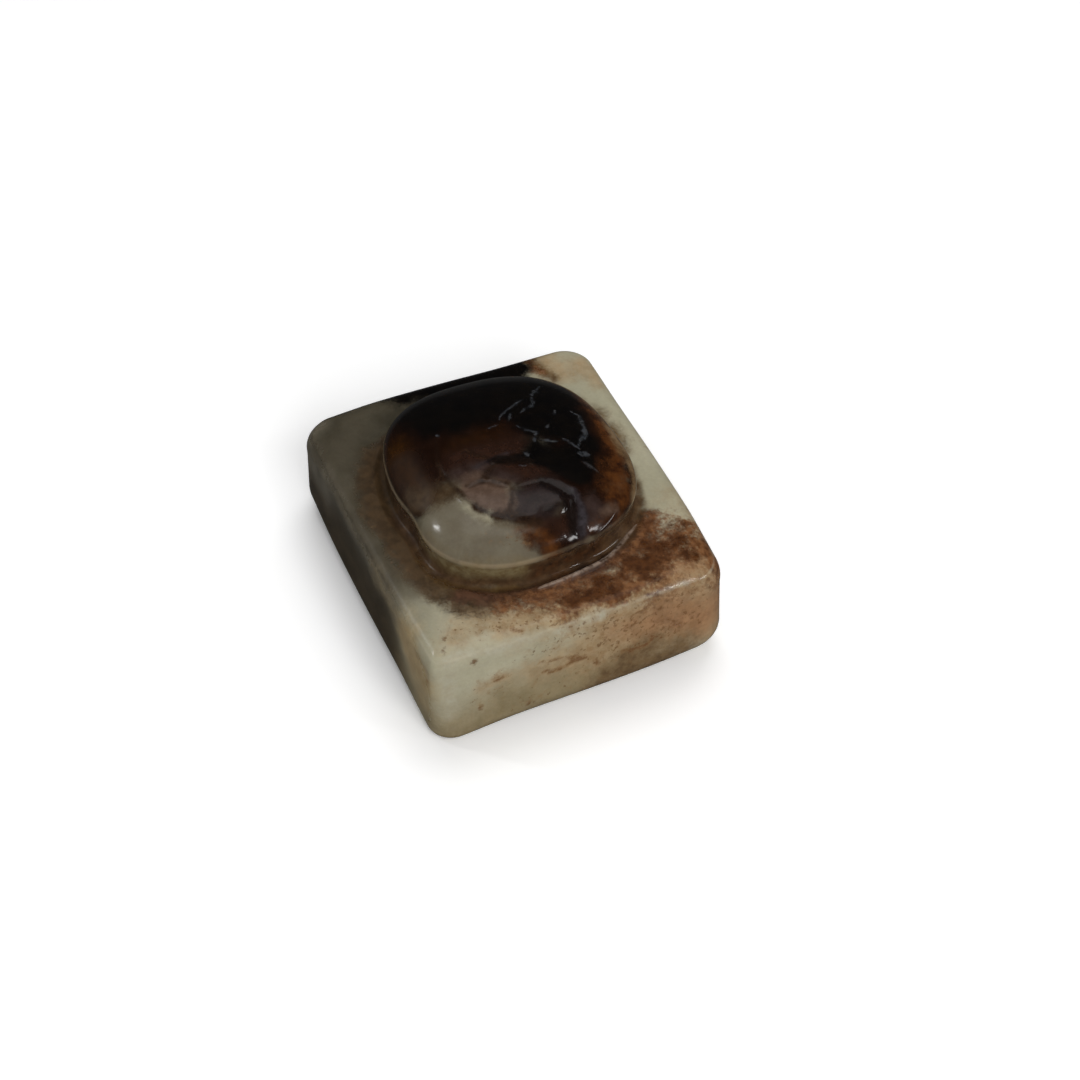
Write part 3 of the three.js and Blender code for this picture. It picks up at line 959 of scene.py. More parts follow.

# %% [markdown]
# ## Where each colour lies
#
# A jade pebble takes its colours from what it lay in: clear stone stays pale green-grey, iron
# creeps in along flaws as tan, russet and amber, and one side has a black skin. Each colour
# has a zone, a few broad strokes on the stone with a reach in millimetres. A zone becomes an
# attribute that is 1 on its strokes and a half at their reach, and the material then breaks up
# its edge with noise. Where the pebble's back and right sides can't be seen, the zones simply
# run on round the edges, as colour in a stone does.
# A few zones are not the stone's colour but painted light and shade, as their comments say.

# %% Zones of the tablet, as face, reach, strength and path
tablet_zones = {
    # deep olive-grey jade along the left side and the back, darkened further by painted shade where the left
    # side and the platform's back left lie in shadow
    "shade": [
        ("top", 6.6, 1.0, [(-19.5, 20), (-19.5, 6), (-19.5, -4)]),
        ("top", 6.6, 1.0, [(-16, 21), (-8, 21), (-4, 21)]),
        ("top", 4.6, 0.9, [(-16, 14), (-15.5, 2), (-16, -4)]),
        ("top", 4.0, 0.3, [(-19, -13), (-19, -16)]),
        ("left", 7.0, 1.0, [(20, 8), (6, 8), (-3.5, 7)]),
        ("left", 5.0, 0.8, [(20, 1), (6, 1), (-10, 1)]),
        ("back", 7.0, 1.0, [(-18, 8), (-8, 8)]),
        ("base", 7.0, 0.9, [(-18, 18), (-18, -2)]),
    ],
    # umber low on the left side
    "umber": [
        ("left", 6.4, 1.0, [(16, 5), (4, 5.6), (-7, 5)]),
        ("base", 5.0, 0.6, [(-19, 10), (-18, -6)]),
    ],
    # paler along the top of the left side, and a painted highlight on the back left corner
    "haze": [
        ("left", 2.6, 0.7, [(20, 10.6), (13, 10.8)]),
        ("left", 1.8, 0.5, [(12, 13.6), (0, 13.6), (-8, 13.6), (-13, 12)]),
        ("top", 1.4, 0.7, [(-19.2, 20.6), (-17.6, 21.6)]),
    ],
    # olive tint low on the front and the left
    "olive": [
        ("front", 5.2, 0.75, [(-16, 1.0), (-8, 2.0), (4, 2.6)]),
        ("front", 3.0, 0.45, [(-11, 6.0), (-4, 6.4), (4, 6.0)]),
        ("left", 4.0, 0.5, [(-14, 4), (-20, 3)]),
        ("right", 4.0, 0.6, [(-10, 2), (16, 2)]),
        ("back", 4.0, 0.6, [(10, 2), (18, 3)]),
    ],
    # warm beige along the front and its right half
    "beige": [
        ("top", 2.6, 0.8, [(-9, -20.6), (-2, -21), (8, -21.5), (16, -20)]),
        ("top", 2.4, 0.6, [(-12, -17.4), (-16, -20.5)]),
        ("front", 5.0, 0.95, [(4, 10), (10, 9), (18, 9)]),
        ("front", 2.0, 0.6, [(-7, 8.5), (0, 8.3)]),
        ("front", 1.2, 0.6, [(-13.6, 8.4), (-10.6, 9.0)]),
        ("right", 6.0, 0.9, [(-21, 8), (-12, 8)]),
        ("right", 3.0, 0.6, [(4, 9), (14, 7)]),
        ("top", 2.2, 0.7, [(14, 21), (15.5, 18)]),
        ("top", 1.3, 0.6, [(18.5, 19), (18.8, 14)]),
        ("base", 6.0, 0.7, [(6, -19), (14, -8)]),
    ],
    # yellow buff on the left side, up to the front corner
    "buff": [
        ("left", 2.8, 0.95, [(-17, 11), (-20.4, 10)]),
        ("left", 2.0, 0.6, [(-14.5, 11), (-17, 9)]),
        ("left", 2.4, 0.35, [(-14, 12.4), (-9, 12.6), (-5, 13)]),
        ("left", 2.2, 0.5, [(-20.5, 5), (-18, 5)]),
    ],
    # orange tan at the right end of the front
    "tan": [
        ("front", 3.4, 0.8, [(11, 10.5), (14, 9), (16, 7)]),
        ("front", 2.2, 0.5, [(4, 10.6), (9, 9)]),
        ("right", 3.6, 0.8, [(-20, 9), (-15, 9)]),
        ("top", 1.8, 0.5, [(12, -21), (18, -19)]),
    ],
    # painted reflection: a pale band below the crisp line of the front edge, and a paler strip down the front
    # left corner
    "bloom": [
        ("front", 0.8, 0.6, [(-18, 14.3), (-8, 14.1), (2, 13.9)]),
        ("front", 0.6, 0.45, [(2, 13.9), (10, 13.7), (14, 13.7)]),
        ("front", 1.8, 0.5, [(-18.4, 12), (-18.2, 6)]),
    ],
    # earthy brown low on the front and round its right corner
    "earth": [
        ("front", 2.5, 0.9, [(3, 2.5), (7, 2.8), (13, 3)]),
        ("front", 1.6, 0.7, [(5.5, 5.6), (8.8, 6.6)]),
        ("front", 1.0, 0.5, [(-13, 0.6), (0, 0.8), (14, 0.8)]),
        ("right", 2.4, 0.7, [(-16, 2.5), (-4, 2)]),
    ],
    # soft brown that stains the platform beside the knob
    "stain": [
        ("round", 1.5, 0.8, [(34, 1.3), (20, 1.5), (4, 1.2)]),
        ("round", 1.2, 0.9, [(54, 0.3), (36, 0.4), (20, 0.4), (0, 0.4)]),
        ("top", 0.9, 0.8, [(12.4, 21.6), (12.9, 19.8), (13.9, 17.4)]),
        ("round", 1.4, 0.5, [(-150, 3.0), (-140, 2.8), (-126, 3.2)]),
    ],
    # brown in the channel, all round the knob
    "channel": [
        ("round", 1.0, 0.9, [(20, 0.4), (60, 0.4), (120, 0.4), (180, 0.4), (240, 0.4), (290, 0.4)]),
        ("round", 0.7, 0.7, [(-70, 0.3), (-30, 0.3), (0, 0.3), (20, 0.3)]),
        ("round", 1.2, 0.8, [(-100, 1.3), (-60, 1.4), (-40, 1.2)]),
    ],
    # mustard brown in the channel's front left
    "mustard": [
        ("round", 1.3, 0.9, [(-158, 0.5), (-140, 0.8), (-124, 0.8), (-110, 0.5)]),
    ],
    # dark mottled brown round the knob's foot
    "brown": [
        ("round", 1.1, 1.0, [(128, 0.5), (150, 0.5), (180, 0.5), (196, 0.5)]),
        ("round", 1.5, 0.85, [(140, 1.3), (165, 1.4), (185, 1.6), (200, 1.6)]),
        ("round", 1.2, 0.5, [(150, 2.7), (180, 2.8), (200, 2.7)]),
        ("round", 1.3, 0.85, [(206, 2.0), (222, 2.3), (240, 2.4)]),
        ("round", 1.0, 0.5, [(212, 3.4), (230, 4.1), (246, 3.8)]),
    ],
    # plum brown in front of the knob
    "plum": [
        ("round", 1.3, 0.95, [(-128, 1.8), (-105, 2.0), (-85, 1.9), (-62, 1.9), (-48, 1.8)]),
        ("round", 1.0, 0.5, [(-48, 1.8), (-40, 2.0)]),
        ("top", 1.1, 0.6, [(-8, -18.2), (-2, -18.6), (4, -18.4)]),
    ],
    # russet that crept along the flaws in the front of the platform
    "russet": [
        ("top", 1.5, 0.55, [(-8.5, -18.2), (-4.5, -18.8), (0, -18.8)]),
        ("top", 1.8, 0.70, [(-1, -19.4), (4, -19.4), (8, -18.6), (12, -17.4)]),
        ("top", 1.2, 0.55, [(-2, -21.2), (2, -21.4), (5.4, -21.2)]),
        ("top", 2.6, 0.80, [(10.5, -16.5), (13.5, -14.8), (17.2, -14.6)]),
        ("top", 1.6, 0.60, [(6.5, -20.2), (10, -20.8), (12.5, -20)]),
        ("top", 1.6, 0.70, [(13, -18.2), (16.6, -18.0), (18.6, -17.4)]),
        ("top", 1.2, 0.5, [(13.4, -13), (14.4, -12), (14.8, -11)]),
        ("top", 0.9, 0.6, [(18.4, -21.0), (19.0, -19.6), (19.4, -17.6)]),
        ("top", 0.8, 0.7, [(12.0, 22.4), (12.2, 20.8), (12.9, 19.2)]),
        ("front", 1.2, 0.35, [(8, 13), (12, 13.2), (17, 12.8)]),
        ("front", 1.4, 0.25, [(9.5, 9.5), (12.5, 7.5), (15.5, 8)]),
        ("back", 2.4, 0.9, [(-9.5, 10), (-9.5, 8), (-8, 4)]),
        ("back", 2.0, 0.9, [(11.2, 13), (10, 8), (7.5, 3.5)]),
        ("right", 2.6, 0.75, [(-19, 12), (-14, 10), (-11, 5)]),
        ("right", 1.5, 0.5, [(2, 12.5), (9, 11)]),
        ("base", 2.4, 0.6, [(12, -19), (17, -12)]),
    ],
    # its darkest clots
    "clots": [
        ("top", 1.5, 0.95, [(9.2, -17.4), (10.2, -18.6), (11.4, -18.0)]),
        ("top", 1.2, 0.90, [(0.8, -20.2), (2.6, -20.8), (3.8, -20.2)]),
        ("top", 1.0, 0.80, [(15.4, -18.6), (16.4, -18.8)]),
        ("top", 1.2, 0.85, [(12.0, -15.2), (14.4, -16.6), (15.8, -16.0)]),
        ("top", 1.0, 0.70, [(4.4, -18.4), (6.6, -18.8)]),
        ("top", 0.9, 0.60, [(10.2, -21.2), (11.4, -21.0)]),
        ("top", 0.9, 0.60, [(16.4, -13.4), (17.8, -14.0)]),
        ("top", 0.8, 0.55, [(5.2, -19.4), (5.0, -21.2)]),
        ("top", 0.8, 0.60, [(-1.8, -19.4), (-0.6, -20.4)]),
    ],
}

# %% Zones of the knob
knob_zones = {
    # dark amber brown, the knob's own colour
    "amber": [
        ("top", 4.2, 1.0, [(-10.3, 9.5), (-11, 5), (-10.8, 1.5)]),
        ("top", 5.0, 1.0, [(-7, 11), (-2, 12), (5, 11)]),
        ("top", 5.0, 1.0, [(-6, 3), (0, 3), (7, 3), (8, -3)]),
        ("top", 3.6, 1.0, [(-3, -2), (2, -7), (6, -9)]),
        ("top", 2.2, 1.0, [(-1.6, -12.4), (3, -13.3), (8, -11.4)]),
        ("round", 1.1, 0.95, [(-104, -0.5), (-80, -0.6), (-55, -0.6), (-30, -0.6), (0, -0.6), (40, -0.6)]),
        ("round", 1.1, 0.95, [(40, -0.6), (60, -0.6), (100, -0.6), (140, -0.6), (195, -0.6)]),
        ("top", 2.4, 1.0, [(10.4, 9), (12, 5), (12.2, 0), (11, -6)]),
        ("top", 1.5, 1.0, [(-0.4, -14.7), (2.2, -15.3), (5, -14.8), (8, -13.2)]),
    ],
    # painted glow: the amber lighter and more orange where light would shine through the thin stone
    "glow": [
        ("top", 1.9, 0.8, [(-12.2, 8), (-12.6, 3), (-12.4, -1.4)]),
        ("top", 2.0, 0.4, [(-6, 3.2), (0, 2.8)]),
    ],
    # smoky brown where the amber thins out over the pale stone
    "smoke": [
        ("top", 1.8, 0.9, [(-13, -1.4), (-11, -2.6), (-9.2, -3.6)]),
        ("top", 1.2, 0.5, [(-12.4, -5.0), (-10.4, -5.2), (-8.8, -5.0)]),
        ("top", 1.0, 0.7, [(-5.6, -10.6), (-4.2, -11.6), (-2.4, -12.0)]),
        ("top", 0.9, 0.5, [(-7.6, -9.2), (-6.2, -10.8), (-4.6, -11.8)]),
    ],
    # translucent brown of the worn plates
    "tea": [
        ("top", 1.9, 0.85, [(-6.6, 0.2), (-3.6, 0.0), (-0.6, -0.2), (1.4, 0.4)]),
        ("top", 1.0, 0.8, [(-4.6, -9.6), (-3.4, -10.3), (-2.0, -10.8), (-0.6, -10.8)]),
        ("top", 1.8, 0.8, [(-1.6, -4.0), (0.4, -5.2), (1.6, -5.4)]),
        ("top", 1.4, 0.8, [(-1.2, -11.4), (0.8, -12.2), (1.6, -13.4)]),
    ],
    # lilac brown plates
    "lilac": [
        ("top", 1.5, 0.9, [(-6.8, -2.2), (-6.2, -3.2), (-4.6, -2.4)]),
        ("top", 1.2, 0.7, [(-3.2, -4.8), (-2.0, -5.8)]),
        ("top", 1.5, 0.8, [(6.2, -11.4), (7.0, -12.0), (6.2, -13.2)]),
    ],
    # the darker plates beside the deep furrow
    "dusk": [
        ("top", 1.6, 0.95, [(-2.2, -8.6), (0.2, -8.3), (2.2, -8.6)]),
        ("top", 1.3, 0.9, [(-3.4, -10.0), (-1.6, -10.4), (0.6, -10.2)]),
    ],
    # the palest plates
    "rosy": [
        ("top", 1.3, 0.95, [(-7.2, -5.2), (-5.8, -5.2), (-4.2, -6.4)]),
        ("top", 1.3, 0.95, [(-6.6, -7.0), (-5.2, -7.6), (-4.4, -8.8)]),
        ("top", 1.0, 0.5, [(-6.6, -3.0), (-5.4, -3.2)]),
        ("top", 0.9, 0.7, [(7.8, -12.4), (9.0, -11.8)]),
    ],
    # pale stone left at the front left of the knob
    "pale_skirt": [
        ("top", 2.4, 1.0, [(-12.8, -7.4), (-11.6, -10), (-8.6, -13), (-5, -14.8)]),
        ("top", 1.9, 1.0, [(-10.4, -7.0), (-9.2, -9.6), (-6.8, -12.2), (-4.6, -13)]),
        ("round", 1.0, 0.9, [(-150, -0.3), (-135, -0.3), (-118, -0.3), (-106, -0.3)]),
    ],
    # yellowish along its rim
    "straw": [
        ("round", 0.8, 0.35, [(-148, -0.4), (-130, -0.3), (-115, -0.2), (-104, -0.3)]),
    ],
    # orange russet along the right of the knob and at its front
    "fringe": [
        ("top", 1.4, 0.8, [(12.6, 10.5), (13.4, 6), (13.5, 1), (12.8, -4), (11.6, -7.6), (10.2, -10.4)]),
        ("top", 1.5, 0.5, [(9.6, -7.6), (9.8, -9.4), (10.2, -10.4)]),
        ("top", 1.3, 0.85, [(-2.6, -12.9), (-1.4, -14.2), (0.0, -15.2)]),
        ("round", 0.9, 0.5, [(-80, -0.3), (-60, -0.4)]),
        ("round", 1.0, 0.6, [(20, 0.6), (40, 0.5), (60, 0.3)]),
    ],
    # painted reflection: a blue-grey sheen on the flank of the deep furrow and along a low ridge
    "slate": [
        ("top", 0.3, 0.2, [(2.1, -6.5), (3.2, -7.7), (4.3, -9.0)]),
        ("top", 0.6, 0.8, [(4.3, -9.0), (4.7, -10.4), (4.5, -12.2), (4.1, -13.6)]),
        ("top", 0.8, 0.9, [(4.3, -13.0), (4.0, -14.0), (3.8, -15.0)]),
        ("top", 0.45, 0.5, [(-4.8, -2.0), (-3.0, -1.5), (-1.2, -0.8), (0.2, -0.9)]),
    ],
    # pale beige on the right rim of the knob
    "rim_beige": [
        ("round", 0.8, 0.8, [(-2, -0.4), (-14, -0.4), (-30, -0.3), (-44, -0.1)]),
        ("top", 0.8, 0.6, [(13.4, 9.6), (14.4, 5), (14.5, 0), (13.8, -4)]),
        ("round", 0.8, 0.5, [(-42, 0.4), (-20, 0.6), (0, 0.8), (16, 0.8)]),
    ],
    # olive brown on the knob's wall
    "wall": [
        ("wall", 1.2, 1.0, [(-180, 0.5), (-150, 0.5), (-110, 0.5), (-70, 0.5), (-30, 0.5), (60, 0.5)]),
        ("wall", 1.2, 1.0, [(-104, 1.7), (-70, 1.7), (-30, 1.7), (30, 1.7), (60, 1.7)]),
        ("wall", 1.2, 1.0, [(130, 1.2), (180, 1.4), (204, 1.4)]),
    ],
    # pale olive high on the wall below the pale skirt
    "wall_top": [
        ("wall", 1.2, 1.0, [(-158, 1.9), (-130, 2.1), (-108, 2.0)]),
    ],
    # russet and plum on the wall
    "wall_rust": [
        ("wall", 1.1, 0.7, [(-100, 1.0), (-84, 1.2), (-70, 1.0)]),
        ("wall", 0.9, 0.5, [(-48, 1.0), (-30, 1.4)]),
    ],
    # dark stain between the plates and along the shell's edge
    "seam": [
        ("top", 0.32, 0.8, [(-8.9, 3.0), (-8.8, 0.0), (-8.6, -3.0), (-8.3, -5.4), (-7.6, -7.3)]),
        ("top", 0.42, 0.95, [(-7.6, -7.3), (-6.8, -8.3), (-5.6, -9.4), (-4.2, -10.4), (-2.8, -11.0)]),
        ("top", 0.75, 0.8, [(-5.2, -9.6), (-4.0, -10.4), (-2.6, -11.1), (-1.2, -11.5)]),
        ("top", 0.34, 0.8, [(-7.2, -4.3), (-6.0, -4.2), (-4.9, -4.4), (-4.0, -5.2), (-2.9, -6.3)]),
        ("top", 0.34, 0.8, [(-1.7, -6.7), (-0.2, -6.8), (0.9, -6.8), (1.9, -6.6)]),
        ("top", 0.32, 0.7, [(-2.5, -7.1), (-3.3, -8.4), (-4.0, -9.9)]),
        ("top", 0.30, 0.6, [(-4.7, 1.6), (-3.9, 0.4), (-3.0, -0.8)]),
        ("top", 0.34, 0.8, [(-4.7, -4.0), (-3.6, -2.9), (-2.5, -1.8)]),
    ],
    # painted shade: dark in the deep furrow and in the hollow that leads into it
    "ink": [
        ("top", 0.8, 0.95, [(1.6, -7.2), (2.8, -8.6), (3.6, -9.8), (3.3, -11.2), (2.9, -13.0), (3.0, -14.4)]),
        ("top", 0.6, 0.6, [(-0.2, -10.7), (1.4, -10.5), (2.8, -10.8)]),
    ],
    # the black skin
    "black": [
        ("top", 3.4, 1.0, [(-7, 10.4), (-3, 12), (2, 13), (7, 11.5), (9.8, 8.5)]),
        ("top", 3.0, 1.0, [(-3, 8), (2, 7.5), (7, 5.5), (9, 3)]),
        ("top", 2.0, 1.0, [(4.6, 2.5), (8.4, 0.5), (9.6, -2.5)]),
        ("top", 1.9, 1.0, [(3, -2), (5.5, -4), (7.6, -5.6)]),
        ("top", 1.5, 0.9, [(4.6, -5.0), (5.8, -6.4), (6.6, -7.6)]),
        ("top", 0.9, 1.0, [(-2.2, -1.7), (-0.6, -2.2), (0.8, -2.8), (2.6, -3.4)]),
        ("top", 2.2, 1.0, [(-9, 14), (-5, 16.2), (2, 17.2), (9, 15.4), (12.6, 12)]),
        ("back", 2.4, 1.0, [(-5, 14.2), (0, 14), (8.5, 14.2)]),
        ("back", 3.4, 1.0, [(-5, 11), (-2, 9), (4, 9), (7.5, 11)]),
        ("back", 1.8, 0.9, [(-4, 5), (-1, 3.5)]),
        ("top", 1.6, 1.0, [(-0.6, 21.6), (3, 21.6), (10.4, 20.9)]),
        ("wall", 1.4, 0.9, [(60, 1.0), (90, 1.0), (125, 1.0)]),
    ],
}
# thin veins, specks and spots of iron
marks = {
    "veins": [
        ("front", 0.34, 0.8, [(-15.2, 6.8), (-14.4, 6.4), (-14.0, 5.2)]),
        ("front", 0.36, 0.9, [(-14.2, 8.3), (-13, 8.5), (-12, 8.6), (-10.8, 9.2)]),
        ("front", 0.30, 0.7, [(-14, 7.4), (-13.6, 6.4), (-14, 5.4)]),
        ("front", 0.28, 0.6, [(-12.6, 7.2), (-11.2, 7.4)]),
        ("front", 0.32, 0.9, [(-7.4, 6.2), (-6.9, 7.2), (-6, 7.6), (-4.4, 7.5), (-2.6, 7.7), (-1.4, 8.0)]),
        ("front", 0.34, 1.0, [(-1.4, 8.0), (-0.4, 7.8), (0.5, 7.3), (1.0, 6.6), (1.4, 5.8)]),
        ("front", 0.30, 0.8, [(-1.4, 8.0), (-2, 8.7), (-3.2, 9.1), (-4.6, 9.2), (-6, 9.2)]),
        ("front", 0.38, 0.9, [(4.8, 6.6), (6.4, 6.4), (7.6, 6.2), (8.4, 6.6), (9, 7.4)]),
        ("front", 0.28, 0.7, [(6.1, 6.2), (6.3, 4.6), (6.2, 3.0)]),
        ("front", 0.34, 0.7, [(6.4, 12.2), (8.0, 12.6), (9.6, 12.0)]),
        ("front", 0.34, 0.6, [(12.6, 11.2), (13.6, 9.6), (14.8, 9.0)]),
        ("top", 0.26, 0.9, [(-10, -19.2), (-8.4, -18.9), (-6.8, -18.6)]),
        ("top", 0.26, 0.9, [(-6.8, -19.4), (-8.0, -20.3), (-8.8, -21.1), (-8.7, -21.9), (-7.7, -22.3)]),
        ("top", 0.34, 0.8, [(-12.7, -17.4), (-11.4, -17.7), (-9.6, -17.9), (-8, -18)]),
        ("top", 0.28, 0.7, [(-6.5, -18.8), (-5.6, -19.8), (-5.1, -21.0)]),
        ("top", 0.28, 0.7, [(-3.2, -19.4), (-2.7, -20.6)]),
        ("top", 0.30, 0.7, [(-1.0, -20.4), (-0.6, -21.6), (0.4, -21.9)]),
        ("top", 0.30, 0.6, [(-3.8, -22.0), (-2.6, -22.2)]),
        ("top", 0.26, 0.4, [(-14.8, -17), (-16, -18.6), (-17.2, -19.8)]),
        ("top", 0.26, 0.6, [(-16.9, -5.4), (-16.4, -7.6), (-15.8, -9.4)]),
        ("left", 0.36, 0.7, [(-21.9, 10.6), (-21.3, 9.6)]),
        ("left", 0.30, 0.5, [(-20.4, 12.2), (-18.4, 11.4), (-17.2, 11.8)]),
        ("right", 0.36, 0.8, [(-12, 8), (-8, 6.6), (-4, 7.4), (1, 6.2)]),
        ("right", 0.32, 0.7, [(-8, 6.6), (-6, 4.4), (-3, 3.6)]),
        ("right", 0.34, 0.7, [(6, 10.4), (9, 9.0), (13, 9.6)]),
        ("back", 0.36, 0.7, [(10, 6), (13, 7.4), (16, 7)]),
        ("back", 0.34, 0.6, [(-16, 6), (-13, 5.2), (-10.4, 6.2)]),
    ],
    # how strongly the painted highlight along the knob's rim shows on each side
    "edge_light": [
        ("round", 1.6, 0.5, [(140, -0.5), (180, -0.5), (206, -0.5), (256, -0.5)]),
        ("round", 1.6, 0.18, [(200, -0.5), (226, -0.5), (256, -0.5), (300, -0.5)]),
        ("round", 1.6, 0.22, [(60, -0.5), (105, -0.5), (150, -0.5)]),
    ],
    # where the knob's flank was never polished, and the left side only roughly
    "dull": [
        ("top", 2.0, 1.0, [(-12.6, 4.0), (-12.9, 1.8), (-12.8, -0.6)]),
        ("left", 8.0, 0.5, [(20, 6), (4, 6), (-14, 6)]),
    ],
    "specked": [
        ("round", 1.0, 0.8, [(-180, 1.8), (-160, 1.9), (-140, 2.4)]),
        ("top", 2.4, 0.8, [(-17, -19), (-12, -20.5), (0, -21), (12, -21)]),
        ("top", 1.8, 0.9, [(-11, -17), (-15, -12), (-16.8, -6), (-17, 2)]),
        ("front", 2.2, 0.9, [(-1, 13.0), (6, 11.8), (12, 11.8), (16, 12)]),
        ("front", 3.0, 0.7, [(-14, 7), (-6, 4), (3, 9)]),
        ("front", 3.2, 0.85, [(4, 8), (9, 8), (14, 7)]),
        ("front", 2.0, 0.7, [(-13, 9), (-8, 11), (-4, 11)]),
        ("top", 1.4, 0.9, [(-7.6, -10.6), (-5.6, -12.6), (-3.6, -13.4)]),
        ("top", 1.4, 0.5, [(14, 20), (17.6, 16)]),
        ("right", 4.0, 0.7, [(-14, 9), (10, 10)]),
        ("back", 4.0, 0.6, [(9, 9), (17, 8)]),
    ],
    "spots": [
        ("front", 0.50, 1.0, [(-14.6, 13.3)]),
        ("front", 0.40, 1.0, [(-14.1, 5.1)]),
        ("front", 0.36, 0.9, [(-7.9, 3.1)]),
        ("front", 0.28, 0.7, [(-7.3, 4.5)]),
        ("front", 0.46, 1.0, [(10.3, 11.6)]),
        ("front", 0.46, 0.8, [(11.4, 9.2)]),
        ("front", 0.50, 0.8, [(4.0, 11.5)]),
        ("front", 0.44, 0.7, [(5.6, 10.4), (6.4, 10.3)]),
        ("front", 0.34, 0.8, [(2.7, 10.0)]),
        ("front", 0.46, 0.7, [(9.0, 7.3)]),
        ("front", 0.36, 0.7, [(0.0, 13.6)]),
        ("front", 0.36, 0.6, [(1.0, 12.6)]),
        ("front", 0.40, 0.6, [(-5.0, 9.0)]),
        ("front", 0.26, 0.5, [(-12.8, 2.4)]),
        ("top", 0.40, 0.9, [(-17.0, -20.0)]),
        ("top", 0.40, 0.6, [(-18.0, -21.8), (-17.6, -21.4)]),
        ("top", 0.26, 0.5, [(-16.4, -21.3)]),
        ("top", 0.28, 0.4, [(-17.8, -16)]),
    ],
}
zones = {**tablet_zones, **knob_zones}
print("zones of colour:", len(zones), "with strokes:", sum(len(patches) for patches in zones.values()))

# %% Paint the zones on the mesh
PATCH_SPACING = 1.2
WARP = 0.7
DRIFT_SHIFTS = [Vector((9.3, -1.5, -8.0)), Vector((0.0, 0.0, 0.0)), Vector((6.3, 0.2, -2.7))]


def drift(place):
    """Slow noise along x, y and z. noise_vector would give another one on each run"""
    return [noise.noise(place + shift) for shift in DRIFT_SHIFTS]


def warped(points):
    """The points shifted by slow noise, so that no zone has a drawn outline"""
    coarse = np.array([drift(Vector(p) / 5.0) for p in points])
    fine = np.array([drift(Vector(p) / 1.8 + Vector((40, 0, 0))) for p in points])
    return points + WARP * (coarse + 0.5 * fine)


def distance_to(points, path):
    """Distance from every point to a path of a few points"""
    best = np.full(len(points), np.inf)
    ends = path[1:] if len(path) > 1 else path
    for a, b in zip(path, ends):
        along = b - a
        length = max(float(along @ along), 1e-9)
        share = np.clip((points - a) @ along / length, 0, 1)
        gap = points - a - share[:, None] * along
        best = np.minimum(best, np.einsum("ij,ij->i", gap, gap))
    return np.sqrt(best)


def zone_weight(points, patches):
    """How much of a zone's colour each point has, from 0 to 1"""
    bare = np.ones(len(points))
    for face, reach, strength, path in patches:
        gap = distance_to(points, lay(face, path, PATCH_SPACING))
        bare *= 1 - strength * np.exp2(-((gap / reach) ** 2))
    return 1 - bare


def store(mesh, title, values):
    """Keeps one value for each point of a mesh"""
    attribute = mesh.attributes.new(title, "FLOAT", "POINT")
    attribute.data.foreach_set("value", np.asarray(values, np.float32))


coordinates = np.empty(len(stone_mesh.vertices) * 3, np.float32)
stone_mesh.vertices.foreach_get("co", coordinates)
stone_points = coordinates.reshape(-1, 3).astype(float) / MM
stone_warped = warped(stone_points)
for title, patches in {**zones, **marks}.items():
    weight = zone_weight(stone_points if title == "spots" else stone_warped, patches)
    store(stone_mesh, title, weight)
    print(title, "covers", round(float((weight > 0.5).mean()) * 100, 1), "% of the points")

# %% [markdown]
# ## The jade's material
#
# Jade is dense, waxy and a little translucent: light goes in, scatters for a millimetre or two
# and comes out softened. So the surface is a Principled BSDF with some subsurface scattering,
# a low roughness and a very fine bump. The colour is built in layers, in the order in which
# nature made them: clear stone with faint clouds, then each zone over it. Every zone has its own
# softness, and noise of its own grain frays its edge: hardly at all for the deep jade, in fine
# crumbs for the russet.
# Some of these layers are painted light and shade laid over the stone's colours.

# %% Colours of the stone
def srgb(red, green, blue):
    """A colour as it looks on a screen, from 0 to 255, as Blender's linear values"""
    values = [channel / 255 for channel in (red, green, blue)]
    linear = [v / 12.92 if v <= 0.04045 else ((v + 0.055) / 1.055) ** 2.4 for v in values]
    return (*linear, 1.0)


clear_jade = srgb(164, 159, 135)
cloudy_jade = srgb(174, 168, 144)
